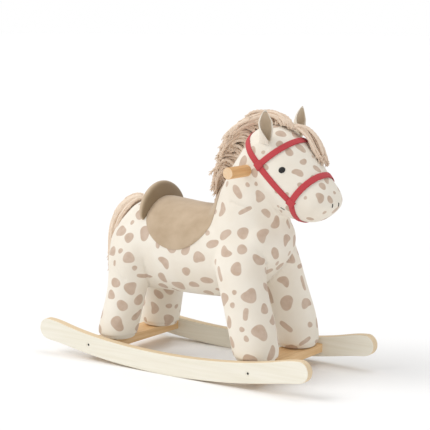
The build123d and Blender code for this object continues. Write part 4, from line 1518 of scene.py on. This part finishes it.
# ---------------------------------------------------------------- yarn hair
@dataclass
class YarnHair:
    """The sewn-in yarn strands of the mane, the forelock and the tail."""

    cover: StuffedCover
    radius: float = 3.0 * MM
    fibres: int = 7
    seed: int = 5
    mane_count: int = 120
    forelock_count: int = 16
    tail_count: int = 58
    crest: tuple = ((212, 499), (197, 506), (176, 508), (155, 506), (135, 496), (118, 477),
                    (100, 448), (84, 420), (68, 394), (54, 366))
    rise: tuple = ((206, 536), (188, 546), (164, 547), (140, 541), (112, 529), (88, 505),
                   (68, 476), (54, 450), (44, 428), (36, 402))
    sweep: tuple = ((152, 548), (120, 540), (92, 521), (74, 497), (58, 477), (48, 459), (42, 441),
                    (37, 421), (34, 401), (33, 380))
    ends: tuple = ((110, 522), (84, 508), (67, 482), (56, 461), (44, 446), (38, 430), (34, 412),
                   (33, 392), (32, 368), (34, 346))
    mane_halves: tuple = (11, 20, 25, 27)
    rump_line: tuple = ((-158, 334), (-169, 331), (-183, 319), (-198, 302), (-213, 282), (-224, 260),
                        (-231, 238), (-238, 210), (-243, 172))
    tail_line: tuple = ((-158, 334), (-169, 341), (-185, 341), (-205, 333), (-226, 314), (-241, 286),
                        (-249, 250), (-253, 212), (-254, 170))
    tail_spread: tuple = (2, 7, 10, 12, 13, 13.5, 13, 11, 8)

    def strands(self, name: str, paths: np.ndarray, rng: np.random.Generator) -> bpy.types.Object:
        """Make twisted strands and the frayed fibres at their free ends.

        Args:
            name: the piece's name.
            paths: centre lines from root to end, of shape (count, samples, 3).
            rng: the seeded generator.

        Returns:
            Strands and fibres in one object, undressed.
        """
        count, samples = paths.shape[:2]
        share = np.linspace(0, 1, samples)[None, :]
        size = self.radius * rng.uniform(0.85, 1.12, (count, 1))
        radii = size * (1 - 0.25 * np.exp(-((share - 1) / 0.02) ** 2)) + 0 * share
        tones = rng.uniform(0.0, 0.7, count)
        body = tubes(name, paths, radii, sides=10, plies=2, lay=17 * MM, tones=tones)
        tangent, across, over = frames_along(paths)
        turn = rng.uniform(0, 2 * math.pi, (count, self.fibres))
        splay = rng.uniform(0.15, 0.75, (count, self.fibres))
        length = rng.uniform(4, 9, (count, self.fibres)) * MM
        side = (across[:, -1, None] * np.cos(turn)[..., None] + over[:, -1, None]
                * np.sin(turn)[..., None])
        way = tangent[:, -1, None] * np.cos(splay)[..., None] + side * np.sin(splay)[..., None]
        steps = np.linspace(0, 1, 5)[None, None, :, None]
        start = paths[:, -1, None, None] + side[:, :, None] * 0.45 * self.radius
        curl = np.array([0.0, 0.0, -1.0]) * 1.2 * MM
        tufts = start + way[:, :, None] * length[..., None, None] * steps + curl * steps ** 2
        tufts = tufts.reshape(-1, 5, 3)
        thin = np.tile(np.array([1.25, 1.1, 0.9, 0.7, 0.4]) * MM, (len(tufts), 1))
        frayed = tubes("fibres", tufts, thin, sides=5, tones=np.repeat(tones * 0.6, self.fibres))
        return joined(name, [body, frayed])

    def lift_off(self, paths: np.ndarray, gap: float, held: int = 2) -> np.ndarray:
        """Push the strands out of the body, but for their sewn-in roots.

        Args:
            paths: centre lines, of shape (count, samples, 3).
            gap: height of a centre line above the skin.
            held: samples at the root that stay where they are.

        Returns:
            The moved centre lines.
        """
        out = self.cover.settle(paths, gap, mode="OUTSIDE")
        out[:, :held] = paths[:, :held]
        return out

    def wander(self, paths: np.ndarray, rng: np.random.Generator, size: float) -> np.ndarray:
        """Add a slow wander that grows from the root: size * s^0.7 * sin(k s + p) per axis.

        Args:
            paths: centre lines, of shape (count, samples, 3).
            rng: the seeded generator.
            size: the wander at the free end.

        Returns:
            The moved centre lines.
        """
        share = np.linspace(0, 1, paths.shape[1])[None, :, None]
        speed = rng.uniform(3, 8, (len(paths), 1, 3))
        phase = rng.uniform(0, 2 * math.pi, (len(paths), 1, 3))
        return paths + size * share ** 0.7 * np.sin(speed * share + phase)

    def mane(self, rng: np.random.Generator) -> bpy.types.Object:
        """Make the mane, which rises from the crest and falls back over the neck.

        Args:
            rng: the seeded generator.

        Returns:
            The strands, undressed.
        """
        place = (np.arange(self.mane_count) + rng.uniform(0, 1, self.mane_count)) / self.mane_count
        rng.shuffle(place)
        layer = rng.uniform(0.45, 1.0, self.mane_count)[:, None]
        root = along_line(self.crest, place)
        lines = [root]
        for line, keep in ((self.rise, 1.0), (self.sweep, 0.9), (self.ends, 0.55)):
            target = along_line(line, np.clip(place + rng.normal(0, 0.03, len(place)), 0, 1))
            lines.append(root + (target - root) * (1 - keep * (1 - layer) * 0.62))
        near = np.column_stack([rng.uniform(-half, half, self.mane_count)
                                for half in self.mane_halves])
        near *= MM * np.interp(place, [0, 0.15, 1], [0.45, 1.0, 0.9])[:, None]
        controls = np.stack([np.column_stack([xz[:, 0], near[:, i], xz[:, 1]])
                             for i, xz in enumerate(lines)], axis=1)
        paths = self.wander(bezier(controls, 30), rng, 2.6 * MM)
        paths = self.lift_off(paths, 3.0 * MM)
        return self.strands("mane_strands", paths, rng)

    def forelock(self, rng: np.random.Generator) -> bpy.types.Object:
        """Make the forelock, which falls over the brow band on the left of the forehead.

        Args:
            rng: the seeded generator.

        Returns:
            The strands, undressed.
        """
        count = self.forelock_count
        spread = np.linspace(-1, 1, count)[:, None]
        rng.shuffle(spread)
        root = np.column_stack([rng.uniform(198, 212, count), 8 + 10 * spread[:, 0],
                                np.full(count, 500.0)])
        rise = np.column_stack([rng.uniform(214, 226, count), 18 + 13 * spread[:, 0],
                                rng.uniform(509, 522, count)])
        fall = np.column_stack([rng.uniform(238, 254, count), 27 + 17 * spread[:, 0],
                                rng.uniform(476, 492, count)])
        end = np.column_stack([rng.uniform(252, 266, count), 28 + 19 * spread[:, 0],
                               rng.uniform(428, 452, count)])
        controls = np.stack([root, rise, fall, end], axis=1) * MM
        paths = self.lift_off(self.wander(bezier(controls, 30), rng, 2.0 * MM), 5.4 * MM)
        return self.strands("forelock_strands", paths, rng)

    def tail(self, rng: np.random.Generator) -> bpy.types.Object:
        """Make the tail, a loose bunch that leaves the rump, arches over and hangs behind it.

        Args:
            rng: the seeded generator.

        Returns:
            The strands, undressed.
        """
        share = np.linspace(0, 1, 34)
        count = self.tail_count
        reach = np.interp(share, np.linspace(0, 1, len(self.tail_spread)), self.tail_spread) * MM
        bend = rng.uniform(0.86, 1.0, count)
        taken = share[None, :] * bend[:, None]
        hang = (rng.uniform(0, 1, count) ** 0.8)[:, None, None]
        outer, inner = (along_line(line, taken.ravel()).reshape(count, -1, 2)
                        for line in (self.tail_line, self.rump_line))
        line = outer * (1 - hang) + inner * hang
        centre = np.stack([line[..., 0], np.zeros(line.shape[:2]), line[..., 1]], -1)
        tangent = np.gradient(centre, axis=1)
        tangent /= np.linalg.norm(tangent, axis=-1, keepdims=True)
        out = np.stack([-tangent[..., 2], 0 * tangent[..., 0], tangent[..., 0]], -1)
        angle = rng.uniform(0, 2 * math.pi, count)[:, None] + 0.9 * share[None, :]
        size = np.sqrt(rng.uniform(0.02, 1.0, count))[:, None] * reach[None, :]
        side = np.array([0.0, 1.0, 0.0])
        paths = (centre + out * (0.3 * size * np.cos(angle))[..., None]
                 + side * (1.15 * size * np.sin(angle))[..., None])
        paths = self.lift_off(self.wander(paths, rng, 1.8 * MM), 3.0 * MM, held=5)
        return self.strands("tail_strands", paths, rng)

    def build(self) -> None:
        """Make all the hair."""
        yarn = FINISHES["yarn"].material()
        rng = np.random.default_rng(self.seed)
        dress(self.mane(rng), yarn, HORSE_BODY, ["mane"])
        dress(self.forelock(rng), yarn, HORSE_BODY, ["forelock"])
        dress(self.tail(rng), yarn, TAIL_BODY, ["tail"])


# ---------------------------------------------------------------- frame pieces from the CAD
@dataclass
class WoodenParts:
    """The rockers, boards, handle, inner frame and fasteners, whose CAD shapes are kept."""

    rockers: tuple = ("rocker_right", "rocker_left")
    boards: tuple = ("front_crossboard", "rear_crossboard")
    handle: tuple = ("handle_dowel",)
    inner: tuple = ("locating_dowels", "hip_block", "shoulder_block", "spine_rail", "seat_board",
                    "neck_post", "neck_gusset", "leg_post_front_right", "leg_post_front_left",
                    "leg_post_rear_right", "leg_post_rear_left")
    caps: tuple = ("rocker_bolts",)
    steel: tuple = ("barrel_nuts", "leg_screws", "frame_screws", "handle_screw")

    def build(self) -> None:
        """Give every kept CAD node its finish."""
        groups = ((self.rockers, "pale_plywood"), (self.boards, "board_wood"),
                  (self.handle, "handle_wood"), (self.inner, "frame_wood"), (self.steel, "steel"),
                  (self.caps, "bolt_caps"))
        for nodes, slot in groups:
            material = FINISHES[slot].material()
            for node in nodes:
                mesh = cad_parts[node].data
                mesh.materials.clear()
                mesh.materials.append(material)
                LOG.info("%s: CAD shape in %s", node, slot)


# ---------------------------------------------------------------- studio
@dataclass
class Studio:
    """Pale floor, soft lights and the camera."""

    azimuth: float = 34.51
    elevation: float = 8.4
    distance: float = 2.7933
    target: tuple = (0.02536, 0.0, 0.31291)
    lens: float = 113.3
    roll: float = 0.26
    surround: float = 0.62
    floor_reach: float = 60.0

    def camera(self) -> None:
        """Place the camera, looking at the target from its azimuth and elevation."""
        data = bpy.data.cameras.new("camera")
        data.lens, data.sensor_width = self.lens, 36.0
        data.clip_start, data.clip_end = 0.1, 50.0
        camera = bpy.data.objects.new("camera", data)
        bpy.context.scene.collection.objects.link(camera)
        turn, tilt = math.radians(self.azimuth), math.radians(self.elevation)
        back = Vector((math.sin(turn) * math.cos(tilt), -math.cos(turn) * math.cos(tilt),
                       math.sin(tilt)))
        level = (-back).to_track_quat("-Z", "Y").to_matrix().to_4x4()
        place = Matrix.Translation(Vector(self.target) + back * self.distance)
        camera.matrix_world = place @ level @ Matrix.Rotation(math.radians(self.roll), 4, "Z")
        bpy.context.scene.camera = camera

    def floor(self) -> None:
        """Lay a wide white floor."""
        corners = np.array([[[-1, -1, 0], [1, -1, 0]], [[-1, 1, 0], [1, 1, 0]]], float)
        floor = grid_mesh("floor", corners * self.floor_reach)
        paint = bpy.data.materials.new("white_floor")
        paint.use_nodes = True
        shader = paint.node_tree.nodes["Principled BSDF"]
        shader.inputs["Base Color"].default_value = linear("#FAFAFA")
        shader.inputs["Roughness"].default_value = 0.8
        floor.data.materials.append(paint)

    def lights(self) -> None:
        """Set broad soft key, fill and top lights and a white surround."""
        lamps = (("key", (-1.7, -1.5, 2.6), 1.3), ("fill", (2.2, -2.4, 1.6), 0.2),
                 ("top", (0.2, 0.6, 3.0), 0.5))
        for name, place, power in lamps:
            data = bpy.data.lights.new(name, "SUN")
            data.angle, data.energy = math.radians(38), power
            lamp = bpy.data.objects.new(name, data)
            lamp.location = place
            aim = Vector((0, 0, 0.25)) - lamp.location
            lamp.rotation_euler = aim.to_track_quat("-Z", "Y").to_euler()
            bpy.context.scene.collection.objects.link(lamp)
        world = bpy.data.worlds.new("surround")
        world.use_nodes = True
        tree = world.node_tree
        seen = add_node(tree, "LightPath").outputs["Is Camera Ray"]
        strength = add_node(tree, "MapRange", i0=seen, i3=self.surround, i4=1.0)
        tree.nodes["Background"].inputs["Color"].default_value = (1, 1, 1, 1)
        tree.links.new(strength.outputs[0], tree.nodes["Background"].inputs["Strength"])
        bpy.context.scene.world = world
        bpy.context.scene.view_settings.view_transform = "Standard"

    def build(self) -> None:
        """Make the camera, the floor and the lights."""
        self.camera()
        self.floor()
        self.lights()


def main() -> None:
    """Build every piece in order."""
    logging.basicConfig(level=logging.INFO, format="%(message)s")
    Studio().build()
    WoodenParts().build()
    cover = StuffedCover()
    cover.build()
    Saddle(cover).build()
    Bridle(cover).build()
    Face(cover).build()
    Ear(-1, (2.0, 38.0)).build()
    Ear(1, (0.0, -16.0)).build()
    YarnHair(cover).build()


if __name__ == "__main__":
    main()
